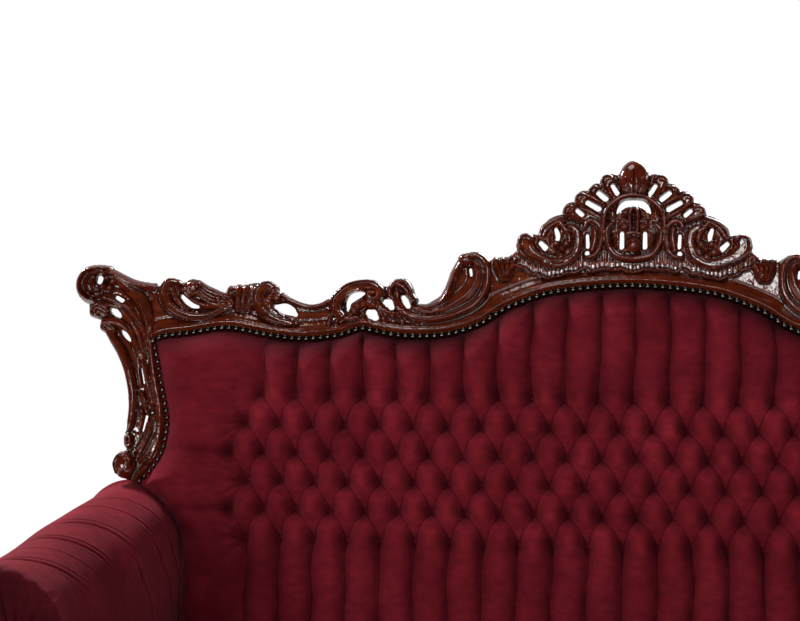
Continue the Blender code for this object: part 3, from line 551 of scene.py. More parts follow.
def relief_mesh(name, x, v, depth, height, values, back, mirror=1.0, joints=(), to_world=on_back):
    """A closed piece over the grid points inside an outline (depth above 0), its rim drawn onto that line.

    Each grid cell inside gives one face at the height and one at the back; walls join them along the rim.
    The front carries the values, and the back carries the plain recess in their place.
    """
    pitch = x[1, 0] - x[0, 0]
    slope_x, slope_v = np.gradient(depth, pitch)
    steep = np.maximum(slope_x ** 2 + slope_v ** 2, 0.25)
    kept = (depth[:-1, :-1] + depth[1:, :-1] + depth[1:, 1:] + depth[:-1, 1:]) > 0
    count = np.zeros(depth.shape, int)
    for i, j in ((0, 0), (1, 0), (1, 1), (0, 1)):
        count[i:i + kept.shape[0], j:j + kept.shape[1]] += kept
    rim = (count > 0) & (count < 4)
    for joint in joints:
        rim &= np.abs(np.abs(x) - joint) > 0.3 * pitch
    shift = np.where(rim, np.clip(-depth / steep, -0.8 * pitch, 0.8 * pitch), 0)
    px, pv = mirror * (x + shift * slope_x), v + shift * slope_v
    used = count > 0
    number = np.cumsum(used.ravel()).reshape(used.shape) - 1
    total = int(used.sum())
    a, b = number[:-1, :-1], number[1:, :-1]
    c, d = number[1:, 1:], number[:-1, 1:]
    faces = [np.stack([a, b, c, d], -1)[kept], np.stack([d, c, b, a], -1)[kept] + total]
    open_cells = np.pad(~kept, 1, constant_values=True)
    for first, second, i, j in ((a, b, 1, 0), (b, c, 2, 1), (c, d, 1, 2), (d, a, 0, 1)):
        wall = kept & open_cells[i:i + kept.shape[0], j:j + kept.shape[1]]
        faces.append(np.stack([second, first, first + total, second + total], -1)[wall])
    faces = np.vstack(faces)
    if mirror < 0:
        faces = faces[:, ::-1]
    front = to_world(px[used], pv[used], height[used])
    rear = to_world(px[used], pv[used], back[used])
    plain = np.full(total, PLAIN_RECESS)
    values = {key: np.concatenate([value[used], plain]) for key, value in values.items()}
    return mesh_object(name, np.vstack([front, rear]), faces, True, values)


# Distance from the nail line and height there
MOULDING_OFF = [0.0, 0.0072, 0.0086, 0.0104, 0.0124, 0.0142, 0.0160, 0.0230, 0.0300, 0.0340]
MOULDING_RISE = [0.0, 0.0, 0.0016, 0.0040, 0.0040, 0.0016, 0.0020, -0.0034, -0.0066, -0.0072]


def moulding(carving, nails, narrow=1.0):
    """The plain edge next to the nails: a flat under them, a bead, and a slope down to the carved field."""
    line = smooth_rows([(x, v, 0.0) for x, v in nails]) * MM
    off = nearest(carving.x, carving.v, line)[0] * narrow
    edge = np.interp(off, MOULDING_OFF, MOULDING_RISE)
    carving.height = np.where(off < MOULDING_OFF[-1], edge, carving.height)


# Scalloped lower edge of the reeded field, from the volute to the middle
CREST_HEM = [(207, 675), (194, 670), (186, 667), (177, 659), (161, 657), (149, 651), (138, 654), (123, 656),
             (114, 661), (100, 661), (88, 668), (81, 669), (73, 663), (62, 666), (50, 669), (36, 667),
             (21, 669), (11, 665)]
PLATE_INSET = 0.0022
POST_INSET = 0.0018
JOINT_LOW_V = 0.5325


def carve_crest():
    """The tall middle: an egg and pierced rays over a ringed medallion, loops and volutes at its sides."""
    carving = Carving((0.0, 0.590), (CREST_END, 0.858))
    upper = arc_run(CREST_TOP + [(275, 683, 0)])
    lower = smooth_rows(NAIL_TOP[:7])
    carving.plate(both_sides(np.vstack([upper, lower[::-1]])), PLATE_LEVEL, PLATE_INSET)
    hem = smooth_rows([(240, 668)] + CREST_HEM + [(-4, 663)], 3.0) * MM
    hem_v = np.interp(carving.x, hem[::-1, 0], hem[::-1, 1])
    wander = 0.0016 * np.sin(carving.x / 0.011) + 0.05 * (carving.v - 0.65) * np.sin(carving.x / 0.017)
    reeds = 0.0014 * np.abs(np.sin(math.pi * (carving.x + wander) / 0.0078)) ** 0.8
    field = PLATE_LEVEL + np.minimum(0.0010 + 0.15 * (carving.v - hem_v), 0.0028) + reeds
    moulding(carving, NAIL_TOP[:7])
    carving.height = np.where(carving.v > hem_v, field, carving.height)
    carving.stroke("bead", 8, *[(x, v, 2.6) for x, v in CREST_HEM + [(0, 663)]])
    for top_x, foot_x in ((205, 219), (216, 222), (228, 226), (240, 230)):
        middle = ((top_x + foot_x) / 2, 668, 5.0)
        carving.stroke("ridge", 10, (top_x, 684, 3.4), middle, (foot_x, 650, 3.0), wide=1.5)
    carving.stroke("petal", 13, (62, 750, 10), (88, 762, 13), (112, 770, 12))
    carving.stroke("petal", 14, (50, 764, 11), (72, 780, 14), (91, 791, 12.7))
    carving.stroke("petal", 15, (40, 782, 10), (55, 795, 13), (68, 804, 12.4))
    carving.stroke("petal", 16, (31, 791, 10), (40, 810, 13.8), (46, 823, 13.4))
    carving.dome(19, 0, 825, 27, 36)
    carving.groove(4.0, (0, 834, 1.2), (0, 816, 2.6), (0, 798, 2.0))
    carving.groove(3.6, (15, 829, 0.9), (11, 813, 2.2), (7, 797, 1.8))
    carving.groove(2.6, (8, 812, 1.0), (5, 797, 1.6))
    carving.stroke("ribs3", 12, (124, 755, 5.6), (137, 747, 8.8), (150, 737, 10.6), (156, 725, 8.8),
                   wide=1.2)
    carving.stroke("ribs2", 9, (141, 732, 7), (145, 718, 8.8), (143, 700, 8.8))
    carving.stroke("bead", 11, (110, 718, 4.4), (114, 732, 5.6), (121, 741, 5.3), (127, 749, 4.2))
    carving.stroke("scoop", 15, (119, 741, 3.5), (108, 740, 5.6), (98, 730, 6.7), (97, 712, 7.4),
                   (103, 694, 7.9), (119, 682, 8.1), (139, 678, 8.1), (159, 684, 8.5), (176, 693, 10.6),
                   (187, 706, 13), (187, 716, 12.7), wide=1.25)
    for x, v in ((134, 713), (116, 712), (113, 698), (126, 690), (138, 698)):
        carving.dome(12, x, v, 8.2, 7.6)
    carving.dome(14, 124, 703, 6, 6)
    carving.stroke("bead", 10, (68, 739, 6.2), (67, 722, 7.6), (71, 702, 6.4))
    carving.stroke("bead", 15, (84, 741, 3.9), (80, 750, 4.9), (70, 752, 5.3), (58, 742, 5.6),
                   (55, 724, 5.8), (59, 703, 5.6), (70, 690, 5.3), (81, 689, 4.6))
    carving.stroke("leaf", 11, (14, 736, 7.9), (18, 754, 9.2), (25, 765, 5.6))
    carving.stroke("bead", 12, (6, 736, 3.4), (7, 763, 3.7), (5, 773, 3.7), (0, 776, 3.7))
    carving.groove(7, (0, 766, 3.5), (0, 738, 3.9))
    carving.groove(3, (36, 732, 1.8), (33, 706, 2.2))
    carving.groove(3, (30, 734, 1.6), (27, 703, 2.0))
    carving.stroke("bead", 9, (12, 730, 3.5), (0, 733, 3.9))
    carving.dome(18, 0, 711, 13, 15)
    carving.stroke("bead", 15, (52, 734, 4.6), (52, 755, 4.9), (46, 774, 5.1), (34, 786, 5.1),
                   (19, 795, 5.1), (0, 798, 5.1))
    carving.stroke("bead", 16, (38, 747, 4.6), (46, 736, 6), (46, 718, 6.4), (39, 702, 6.4), (26, 690, 6.4),
                   (0, 685, 6))
    carving.pierce([(37, 816, 3.9), (29, 803, 4.4)], [(61, 803, 4.6), (49, 793, 5.1)],
                   [(80, 786, 4.6), (61, 775, 5.1)], [(98, 772, 3.7), (90, 765, 4.2)],
                   [(28, 768, 2.1), (23, 777, 4.9), (14, 784, 6.4), (0, 786, 5.8)],
                   [(20, 732, 3.5), (20, 708, 3.9)], [(80, 728, 2.8), (79, 708, 3.0)],
                   [(80, 697, 3.9), (80, 695, 3.9)], [(135, 739, 3.0), (132, 730, 4.2), (131, 722, 3.2)],
                   [(161, 714, 3.9), (153, 706, 5.1)])
    crest = carving.body("crest_carving", joints=(CREST_END,), both=True)
    place(crest, "sofa", CARVED_MAHOGANY, ["crest"])


def carve_top_rails():
    """The wavy rails, from the crest out: S-scroll, loop, spiral arch, C-scroll, clasp and leaf curl."""
    carving = Carving((RAIL_START, 0.525), (RAIL_END, 0.706))
    upper = arc_run([(225, 690, 0)] + RAIL_TOP + [(875, 636, 0)])
    lower = smooth_rows(NAIL_TOP[3:] + [(875, 520)])
    carving.plate(np.vstack([upper, lower[::-1]]), PLATE_LEVEL, PLATE_INSET)
    moulding(carving, NAIL_TOP[3:])
    for top, foot in (((528, 583, 3.9), (533, 567, 4.9)), ((517, 576, 3.5), (519, 564, 4.6)),
                      ((473, 579, 3.9), (465, 569, 4.6))):
        carving.stroke("bead", 8, top, foot)
    for top, foot in (((436, 586, 3.9), (430, 574, 4.6)), ((423, 588, 3.9), (417, 574, 4.9)),
                      ((409, 586, 3.9), (401, 571, 4.9)), ((391, 579, 4.2), (373, 571, 4.6))):
        carving.stroke("leaf", 9, top, foot)
    carving.stroke("bead", 9, (618, 618, 4.2), (603, 608, 4.6), (584, 600, 4.8), (568, 597, 4.8),
                   (550, 599, 4.8), (534, 607, 4.6))
    carving.groove(2.0, (614, 606, 1.8), (599, 595, 1.9), (582, 589, 1.9), (562, 587, 1.9), (541, 593, 1.8))
    carving.stroke("ridge", 11, (384, 597, 6.2), (361, 589, 7.9), (335, 593, 8.8), (309, 607, 9.7),
                   (286, 625, 10.6), (273, 648, 10.6), (270, 671, 7.9), (279, 682, 5.3), wide=1.35)
    carving.stroke("ridge", 12, (372, 598, 4.6), (351, 598, 5.3), (333, 609, 5.6), (320, 631, 5.8),
                   (311, 658, 5.6), (302, 676, 5.3), wide=1.5)
    carving.stroke("bead", 14, (420, 615, 5.6), (407, 595, 6), (388, 583, 6.2), (361, 577, 6.4),
                   (331, 580, 6.4), (300, 590, 6.4), (272, 607, 6.4), (255, 634, 6.4), (253, 662, 6.2),
                   (259, 681, 6), (274, 691, 5.6), (290, 689, 5.3), wide=1.15)
    carving.dome(17, 291, 683, 16, 12)
    carving.stroke("bead", 9, (413, 624, 6.2), (407, 604, 7.4), (391, 589, 7.1))
    carving.stroke("ribs2", 14, (412, 640, 8.8), (400, 638, 10.6), (392, 629, 8.8), (387, 618, 7.1),
                   (382, 611, 7.4))
    carving.stroke("bead", 15, (405, 643, 5.6), (420, 636, 6), (425, 623, 6), (420, 609, 6),
                   (407, 593, 5.8))
    carving.stroke("ridge", 11, (461, 605, 5.6), (447, 597, 5.6), (440, 586, 5.6), (433, 574, 4.9),
                   wide=1.5)
    carving.stroke("ridge", 11, (445, 606, 4.6), (439, 596, 5.3), (426, 588, 5.6), (411, 585, 5.3),
                   wide=1.6)
    carving.stroke("leaf", 11, (499, 578, 6.2), (490, 590, 7.9), (480, 601, 7.4), (468, 605, 7.4),
                   (458, 608, 6.4))
    carving.stroke("bead", 11, (503, 576, 4.6), (490, 577, 5.6), (481, 578, 4.2))
    carving.stroke("scoop", 15, (507, 576, 4.9), (519, 589, 7.9), (521, 605, 9.9), (511, 618, 10.6),
                   (496, 629, 10.6), (476, 635, 9.9), (457, 635, 9.2), (446, 627, 8.1), (446, 615, 7.1),
                   (455, 610, 6.4), (463, 615, 5.3), (462, 623, 4.6), (455, 623, 3.9), wide=1.2)
    carving.stroke("bead", 9, (646, 607, 8.8), (635, 591, 7.9), (618, 577, 6))
    carving.stroke("ribs2", 12, (711, 626, 8), (714, 615, 8.4), (711, 603, 7.3))
    for top_x, foot_x in ((671, 677), (684, 688), (697, 698)):
        carving.stroke("ridge", 11, (top_x, 628, 5.5), (foot_x, 611, 6.0), (foot_x, 594, 5.0), wide=1.6)
    carving.stroke("scoop", 14, (589, 567, 2.6), (610, 568, 5.3), (634, 575, 7.8), (653, 589, 9.5),
                   (661, 609, 10.2), (658, 625, 9.9), (646, 633, 8.5), (634, 628, 7.4), wide=1.2)
    carving.dome(13, 633, 622, 8.8, 8.8)
    carving.dome(12, 640, 612, 8.1, 7.4)
    carving.dome(12, 627, 611, 7.8, 7.4)
    carving.stroke("ribs5", 13, (773, 635, 7.1), (758, 620, 11.5), (739, 611, 12), (715, 608, 7.9),
                   wide=1.25)
    carving.stroke("ridge", 11, (800, 625, 3.9), (786, 609, 4.6), (768, 600, 4.6), (744, 595, 4.6),
                   (718, 596, 3.9), wide=1.6)
    carving.stroke("ribs3", 9, (815, 625, 7.9), (808, 609, 7.1), (791, 591, 5.6), wide=1.3)
    carving.dome(18, 782, 628, 17, 17)
    carving.groove(3.5, (793, 624, 1.8), (791, 635, 1.8), (781, 640, 1.8), (771, 635, 1.8), (771, 624, 1.8),
                   (779, 619, 1.8), (784, 626, 1.8))
    carving.stroke("scoop", 14, (810, 637, 5.6), (824, 637, 7.8), (833, 626, 8.5), (832, 610, 8.5),
                   (823, 595, 8.5), (805, 583, 7.9), (780, 576, 7.1), (752, 578, 6), (729, 587, 4.9),
                   (709, 597, 3.5), wide=1.25)
    carving.pierce([(284, 666, 2.6), (282, 656, 2.5)], [(402, 616, 3.9), (397, 608, 5.1), (392, 599, 3.9)],
                   [(500, 593, 2.5), (499, 605, 4.6), (491, 615, 7.1), (480, 620, 5.6), (473, 622, 2.5)],
                   [(463, 589, 5.3), (456, 585, 9.2), (450, 579, 5.6)],
                   [(433, 608, 4.6), (426, 605, 7.1), (421, 598, 4.9)],
                   [(630, 597, 3.9), (615, 594, 9.5), (602, 589, 7.8), (594, 583, 3.5)],
                   [(802, 614, 3.2), (792, 604, 4.6), (781, 597, 3.9), (771, 595, 2.1)])
    carving.pair("top_rail", joints=(RAIL_START, RAIL_END))


def carve_back_posts():
    """The two ends: a ridged ear volute, leaf lobes with pierced gaps, a banded post and a ball foot.

    The post's lower part reaches past its joint with the rail towards the middle, so the grid starts there,
    and what lies past the joint beside the rail is cut off again.
    """
    carving = Carving((POST_START - 24 * GRID, 0.279), (1.0015, 0.690))
    upper = arc_run([(820, 634, 0)] + POST_OUTER)
    lower = smooth_rows([(820, 542)] + NAIL_SIDE)
    carving.plate(np.vstack([upper, lower[::-1]]), PLATE_LEVEL, POST_INSET)
    moulding(carving, NAIL_SIDE, 1.7)
    carving.stroke("bead", 12, (855, 544, 4.9), (852, 511, 6), (847, 477, 6.7), (839, 440, 7.4),
                   (832, 405, 7.8), (831, 373, 7.4), (837, 344, 6.7), (846, 323, 5.6))
    carving.stroke("ridge", 10, (872, 511, 4.2), (865, 483, 4.9), (856, 454, 5.3), (846, 422, 4.6),
                   wide=1.8)
    carving.stroke("leaf", 8, (870, 439, 4.6), (861, 418, 5.3), (854, 401, 4.2))
    carving.stroke("leaf", 8, (869, 411, 3.9), (863, 395, 4.6))
    carving.stroke("ridge", 12, (941, 564, 5.3), (921, 564, 5.3), (900, 551, 5.3), (884, 531, 4.9),
                   (873, 504, 3.9), wide=1.9)
    carving.stroke("ridge", 13, (950, 595, 5.3), (930, 594, 5.3), (905, 581, 5.6), (887, 561, 5.6),
                   (873, 534, 4.9), (864, 504, 3.9), wide=1.9)
    carving.stroke("ridge", 14, (943, 609, 4.6), (924, 603, 5.3), (902, 593, 6), (882, 574, 6.4),
                   (868, 551, 5.6), (859, 518, 4.6), wide=1.9)
    carving.stroke("ridge", 15, (925, 646, 4.2), (902, 631, 6), (884, 614, 6.4), (872, 592, 6.4),
                   (862, 565, 5.6), (856, 533, 4.6), wide=1.9)
    carving.groove(3, (877, 627, 2.3), (862, 610, 2.5), (853, 583, 2.3))
    carving.stroke("ribs3", 13, (938, 582, 7.1), (955, 591, 9.7), (960, 584, 10.6), wide=1.1)
    carving.stroke("ribs3", 12, (925, 550, 6.4), (939, 558, 8.8), (941, 557, 8.8), wide=1.1)
    carving.stroke("bead", 13, (935, 550, 6.4), (921, 530, 7.8), (907, 509, 8.5), (894, 480, 8.8),
                   (885, 446, 8.8), (882, 416, 8.5), (884, 388, 7.4), (886, 375, 5.3))
    carving.stroke("ridge", 13, (935, 656, 4.9), (913, 644, 5.6), (895, 636, 5.6), (872, 631, 5.3),
                   (840, 629, 4.6), wide=1.6)
    carving.dome(10, 941, 645, 6, 5.3)
    carving.dome(10, 930, 639, 6.4, 5.6)
    carving.dome(10, 935, 627, 6.7, 6)
    carving.stroke("ridge", 12, (956, 647, 2.8), (966, 642, 3.4), (970, 633, 3.4), (964, 624, 3.2),
                   (955, 621, 2.8), wide=1.5)
    carving.stroke("ridge", 14, (946, 655, 3.2), (962, 655, 3.9), (975, 649, 3.9), (981, 636, 3.9),
                   (978, 622, 3.9), (968, 612, 3.5), (953, 611, 2.8), wide=1.5)
    carving.stroke("ridge", 15, (938, 662, 4.6), (961, 663, 5.3), (981, 657, 5.3), (992, 640, 5.3),
                   (990, 622, 5.3), (978, 607, 4.9), (961, 602, 4.2), wide=1.4)
    carving.dome(13, 948, 629, 7.1, 6.4)
    carving.stroke("ridge", 10, (853, 383, 3.2), (859, 358, 3.9), (869, 338, 3.5), wide=1.7)
    carving.stroke("ridge", 11, (843, 395, 3.9), (849, 369, 4.6), (858, 344, 4.2), (866, 328, 3.9),
                   wide=1.7)
    carving.stroke("ridge", 11, (839, 358, 3.5), (849, 335, 4.2), (861, 319, 3.9), wide=1.7)
    carving.stroke("ribs2", 12, (888, 358, 8.8), (887, 348, 9.2))
    carving.dome(17, 893, 310, 21, 24)
    carving.stroke("ridge", 18, (906, 296, 3.0), (910, 312, 4.0), (902, 327, 4.4), (887, 328, 4.0),
                   (878, 316, 3.6), (884, 304, 3.0), wide=1.3)
    carving.dome(14, 866, 325, 6.4, 6.4)
    carving.pierce([(957, 640, 4.9), (956, 645, 5.3)], [(923, 611, 3.2), (911, 604, 3.9)],
                   [(930, 588, 3.5), (922, 583, 6.4), (915, 578, 4.2)],
                   [(909, 549, 2.8), (901, 541, 4.9), (894, 533, 2.8)],
                   [(870, 481, 2.3), (865, 457, 2.6)], [(858, 397, 2.6), (863, 372, 2.5)])
    beside_rail = (carving.x < POST_START - 0.5 * GRID) & (carving.v > JOINT_LOW_V)
    carving.depth[beside_rail] = -1.0
    carving.pair("back_post", joints=(POST_START,))


carve_crest()
carve_top_rails()
carve_back_posts()


# Buttoned back

BUTTON_PITCH = 0.0585
ROW_PITCH = 0.0492
TOP_ROW_V = 0.4360
BUTTON_ROWS = 6
# Pitches from the middle to each row's last button
ROW_REACH = (11, 11.5, 12, 11.5, 12, 11.5)
LATTICE_SHIFT = 0.004
ROW_LEAN = 0.0022
FOLD_ARCH = 0.13
PIT_DEEP = 0.010
PIT_RADIUS = 0.014
# How far past the last buttons a pit still shows
PIT_REACH = 0.4 * BUTTON_PITCH
PUFF_HEIGHT = 0.063
FOLD_HEIGHT = 0.047
PLEAT_HEIGHT = 0.044
PLEAT_START = 0.020
PLEAT_BLEND = 0.022
BUTTON_HEIGHT = 0.026
BUTTON_RADIUS = 0.0066
BUTTON_RISE = 0.0040
PLAIN_HEIGHT = 0.056
PLAIN_START = 0.022
CREASE_DEEP = 0.011
WRINKLE_DEEP = 0.0034
WRINKLED_ROWS = (1, 3, 5)
# Creases from a row's last button: row, slope, drop at 0.1 m, softness
SIDE_CREASES = ((2, 0.0, 0.0, 0.008), (4, 0.055, 0.006, 0.0045))
# How dark the painted shade is in pleats, at the top, in pits, creases and wrinkles, and how far some of it
# reaches
PLEAT_SHADE = 0.24
PLEAT_SHADE_START = 0.012
TOP_SHADE = 0.95
TOP_SHADE_REACH = 0.050
PIT_SHADE = 0.45
PIT_SHADE_RADIUS = 0.011
PIT_SHADE_BEYOND = 0.02
CREASE_SHADE = 0.45
WRINKLE_SHADE = 0.9
PAD_RIM = 0.0012
PAD_BACK = -0.028
PAD_GRID = 0.0031
PAD_HALF_WIDTH = 0.86
PAD_LENGTH = 0.72
PAD_LOW_V = -0.0765
PAD_HEM = 0.0072
PAD_LAP = 0.0030
PAD_ROUND = 0.052
PAD_OUTLINE = [(779, -75), (779, 165), (783, 195), (800, 224), (820, 248), (845, 265), (857, 275)]
# The cover runs on down behind the seat, so its lower edge has no round
PAD_BELOW = [(779, -175)]


def lattice(x, v):
    """Place in the button lattice: pitches across, rows down, and how far outside the last buttons."""
    x = x + 0.0016 * np.sin(31 * v + 7 * x) + 0.0012 * np.sin(57 * v - 23 * x)
    v = v + 0.0014 * np.sin(29 * x + 11 * v)
    down = (TOP_ROW_V - v) / ROW_PITCH
    row = np.clip(down, 0, BUTTON_ROWS - 1)
    across = (x - LATTICE_SHIFT - ROW_LEAN * row) / BUTTON_PITCH
    out = np.maximum(np.abs(across) - np.interp(row, np.arange(BUTTON_ROWS), ROW_REACH), 0) * BUTTON_PITCH
    return across, down, out


def button_distance(across, down):
    """Distance to the nearest button."""
    row = np.clip(down, 0, BUTTON_ROWS - 1)
    first = across + row / 2
    second = across - row / 2
    first = first - np.round(first)
    second = second - np.round(second)
    return np.hypot((first + second) / 2 * BUTTON_PITCH, (first - second + np.abs(down - row)) * ROW_PITCH)


def arched(down):
    """Rows down, bent so that each fold runs up steeply from its button and arches over to the next."""
    return down + FOLD_ARCH * np.sin(math.pi * down) ** 2


def folds(first, second):
    """Height of a diamond puff by the two fold waves: lowest where both are 0, at a button."""
    ridge = np.sqrt(first ** 2 + second ** 2 - first ** 2 * second ** 2)
    fold = BUTTON_HEIGHT + (FOLD_HEIGHT - BUTTON_HEIGHT) * ridge ** 0.8
    return fold + (PUFF_HEIGHT - FOLD_HEIGHT) * (first * second) ** 0.65


def pleats(share, beyond):
    """Height of a straight pleat past a button, by the wave across it and the length past the button."""
    crease = BUTTON_HEIGHT + (PLEAT_HEIGHT - BUTTON_HEIGHT) * (1 - np.exp(-beyond / PLEAT_START))
    straight = crease + (PUFF_HEIGHT - crease) * share ** 0.55
    puff = folds(share, share)
    return puff + (straight - puff) * (1 - np.exp(-beyond / PLEAT_BLEND))


def side_creases(down, out):
    """Creases from some rows' last button to the cover's edge: 1 on the line, falling off beside it."""
    total = 0 * out
    for row, slope, drop, soft in SIDE_CREASES:
        off = (row - down) * ROW_PITCH + slope * out + drop * (out / 0.1) ** 6
        total += np.exp(-np.abs(off) / soft) * np.exp(-out / 0.11) * (1 - np.exp(-out / 0.01))
    return total


def side_wrinkles(down, out):
    """Fans of wrinkles at other rows' last buttons: a cosine of the turn that fades with the distance."""
    total = 0 * out
    for row in WRINKLED_ROWS:
        off = (row - down) * ROW_PITCH
        turn = np.arctan2(off, out + 0.002)
        total += np.cos(9 * turn) * np.exp(-np.hypot(out, off) / 0.040) * (1 - np.exp(-out / 0.008))
    return total


def puffed(x, v):
    """Height of the buttoned velvet, by its lattice of buttons.

    Diamond puffs between four buttons fall to folds along the lines from button to button, deepest at the
    buttons. Above the top row and below the bottom row each button sends a straight pleat to the edge.
    Outside the last buttons the cover is plain, with creases and wrinkles from the last buttons.
    """
    across, down, out = lattice(x, v)
    first = np.abs(np.sin(math.pi * (across + arched(down) / 2)))
    second = np.abs(np.sin(math.pi * (across - arched(down) / 2)))
    above = np.maximum(-down, 0) * ROW_PITCH
    below = np.maximum(down - BUTTON_ROWS + 1, 0) * ROW_PITCH
    over = pleats(np.abs(np.sin(math.pi * across)), above)
    under = pleats(np.abs(np.cos(math.pi * across)), below)
    height = np.where(above > 0, over, np.where(below > 0, under, folds(first, second)))
    last_fold = folds(0 * out, np.abs(np.sin(math.pi * down)))
    edge = np.where(above > 0, pleats(0 * out, above),
                    np.where(below > 0, pleats(0 * out, below), last_fold))
    plain = edge + (PLAIN_HEIGHT - edge) * (1 - np.exp(-out / PLAIN_START)) ** 0.6
    plain -= CREASE_DEEP * side_creases(down, out) + WRINKLE_DEEP * side_wrinkles(down, out)
    pit = PIT_DEEP * bell(button_distance(across, down), PIT_RADIUS) * (out < PIT_REACH)
    return np.where(out > 0, plain, height) - pit


def pad_values(x, v, rise, edge_v):
    """What the velvet's pattern reads: two fold counts, where fold lines show, and how dark the painted
    shade is.

    Shade is painted in the pleats, where the cover turns over below the top edge at edge_v, in the pits
    round the buttons, and along the creases and wrinkles of the plain sides.
    """
    across, down, out = lattice(x, v)
    row = np.clip(down, 0, BUTTON_ROWS - 1)
    beyond = np.abs(down - row) * ROW_PITCH
    pleat = np.abs(np.where(down < 0, np.sin(math.pi * across), np.cos(math.pi * across)))
    creased = PLEAT_SHADE * (1 - np.exp(-beyond / PLEAT_SHADE_START)) * (1 + 1.6 * (1 - pleat) ** 2)
    turned_over = TOP_SHADE * np.clip(1 - (edge_v - v) / TOP_SHADE_REACH, 0, 1) ** 1.2
    wrinkled = WRINKLE_SHADE * np.clip(side_wrinkles(down, out), 0, 1) ** 1.5
    wrinkled += CREASE_SHADE * side_creases(down, out)
    pitted = PIT_SHADE * bell(button_distance(across, down), PIT_SHADE_RADIUS)
    pitted *= (out < PIT_REACH) & (beyond < PIT_SHADE_BEYOND)
    # Painted shade: pleats, the turned-over top, pits and side creases are darkened in colour
    dark = np.where(out > 0, wrinkled, creased) + turned_over + pitted
    fold = arched(row) / 2
    return {"fold_one": across + fold, "fold_two": across - fold,
            "fold_dark": (out == 0) * np.clip(rise * 2, 0, 1), "painted_shade": np.clip(dark, 0, 1)}


def buttoned_back():
    """The deep-buttoned velvet pad with a flat hem under the nails, and its covered buttons.

    Its height over the back plane is the puffed height, rounded off by a quarter round towards the hem.
    """
    columns = round(PAD_HALF_WIDTH / PAD_GRID)
    rows = round(PAD_LENGTH / PAD_GRID)
    x, v = np.meshgrid(np.arange(-columns, columns + 1) * PAD_GRID,
                       PAD_LOW_V + np.arange(rows + 1) * PAD_GRID, indexing="ij")
    side = smooth_rows(NAIL_SIDE[:-1])[::-1]
    top = smooth_rows(NAIL_TOP)[-2::-1]
    half = np.vstack([PAD_OUTLINE, side, top])
    depth = inside_depth(x, v, both_sides(half) * MM) + PAD_LAP * np.clip((v - 0.26) / 0.03, 0, 1)
    hem = PAD_HEM * np.clip((v - 0.24) / 0.05, 0, 1)
    run_on = both_sides(np.vstack([PAD_BELOW, half])) * MM
    rise = np.clip((inside_depth(x, v, run_on) - hem) / PAD_ROUND, 0, 1)
    shape = np.sqrt(1 - (1 - rise) ** 2) ** 1.15
    height = PAD_RIM + (puffed(x, v) - PAD_RIM) * shape
    edge_v = np.interp(np.abs(x), top[::-1, 0] * MM, top[::-1, 1] * MM)
    values = pad_values(x, v, rise, edge_v)
    pad = relief_mesh("buttoned_back", x, v, depth, height, values, np.full(x.shape, PAD_BACK))
    place(pad, "sofa", BUTTONED_VELVET, ["back_pad"])
    covered_buttons()


def domes(name, centres, along, across, out, radius, height, segments, rings=4):
    """Low domes set on a surface, all in one mesh.

    Each ring of a dome shrinks by a cosine while it rises by a sine, and a flat fan closes the base. The
    ways along, across and out are one for all domes or one for each.
    """
    turn = np.arange(segments) * 2 * math.pi / segments
    lift = np.arange(rings)[:, None] / rings * math.pi / 2
    ring = np.stack([np.cos(lift) * np.cos(turn), np.cos(lift) * np.sin(turn), np.sin(lift) + 0 * turn], -1)
    shape = np.vstack([ring.reshape(-1, 3), UP, 0 * UP]) * [radius, radius, height]
    along, across, out = [np.broadcast_to(way, centres.shape)[:, None] for way in (along, across, out)]
    points = centres[:, None] + shape[:, :1] * along + shape[:, 1:2] * across + shape[:, 2:] * out
    index = np.arange(rings * segments).reshape(rings, segments)
    after = np.roll(index, -1, axis=1)
    walls = np.stack([index[:-1], after[:-1], after[1:], index[1:]], -1).reshape(-1, 4)
    peak = np.full(segments, rings * segments)
    cap = np.stack([index[-1], after[-1], peak, peak], -1)
    base = np.stack([after[0], index[0], peak + 1, peak + 1], -1)
    faces = np.vstack([walls, cap, base])
    starts = np.arange(len(centres)) * len(shape)
    return mesh_object(name, points, (faces + starts[:, None, None]).reshape(-1, 4))


def covered_buttons():
    """A velvet-covered button at each crossing of the folds."""
    places = []
    for row, reach in enumerate(ROW_REACH):
        x = np.arange(-reach, reach + 1) * BUTTON_PITCH + LATTICE_SHIFT + ROW_LEAN * row
        places.append(np.column_stack([x, np.full(len(x), TOP_ROW_V - row * ROW_PITCH)]))
    places = np.vstack(places)
    centres = on_back(places[:, 0], places[:, 1], BUTTON_HEIGHT - PIT_DEEP + 0.001)
    buttons = domes("covered_buttons", centres, RIGHT, UP_SLOPE, OFF_SLOPE, BUTTON_RADIUS, BUTTON_RISE, 12)
    place(buttons, "sofa", VELVET)


NAIL_PITCH = 0.0129
NAIL_RADIUS = 0.0062
NAIL_RISE = 0.0052
NAIL_SIDES = 10
NAIL_SEAT = 0.0006
SIDE_NAIL_TURN = math.radians(45.0)
SIDE_NAIL_WIDTH = 0.60


def evenly(points, pitch):
    """Places at an even pitch along a line."""
    steps = np.hypot(*np.diff(points, axis=0).T)
    passed = np.concatenate([[0], np.cumsum(steps)])
    count = round(passed[-1] / pitch)
    at = np.linspace(0, passed[-1], count + 1)
    return np.stack([np.interp(at, passed, points[:, 0]), np.interp(at, passed, points[:, 1])], -1)


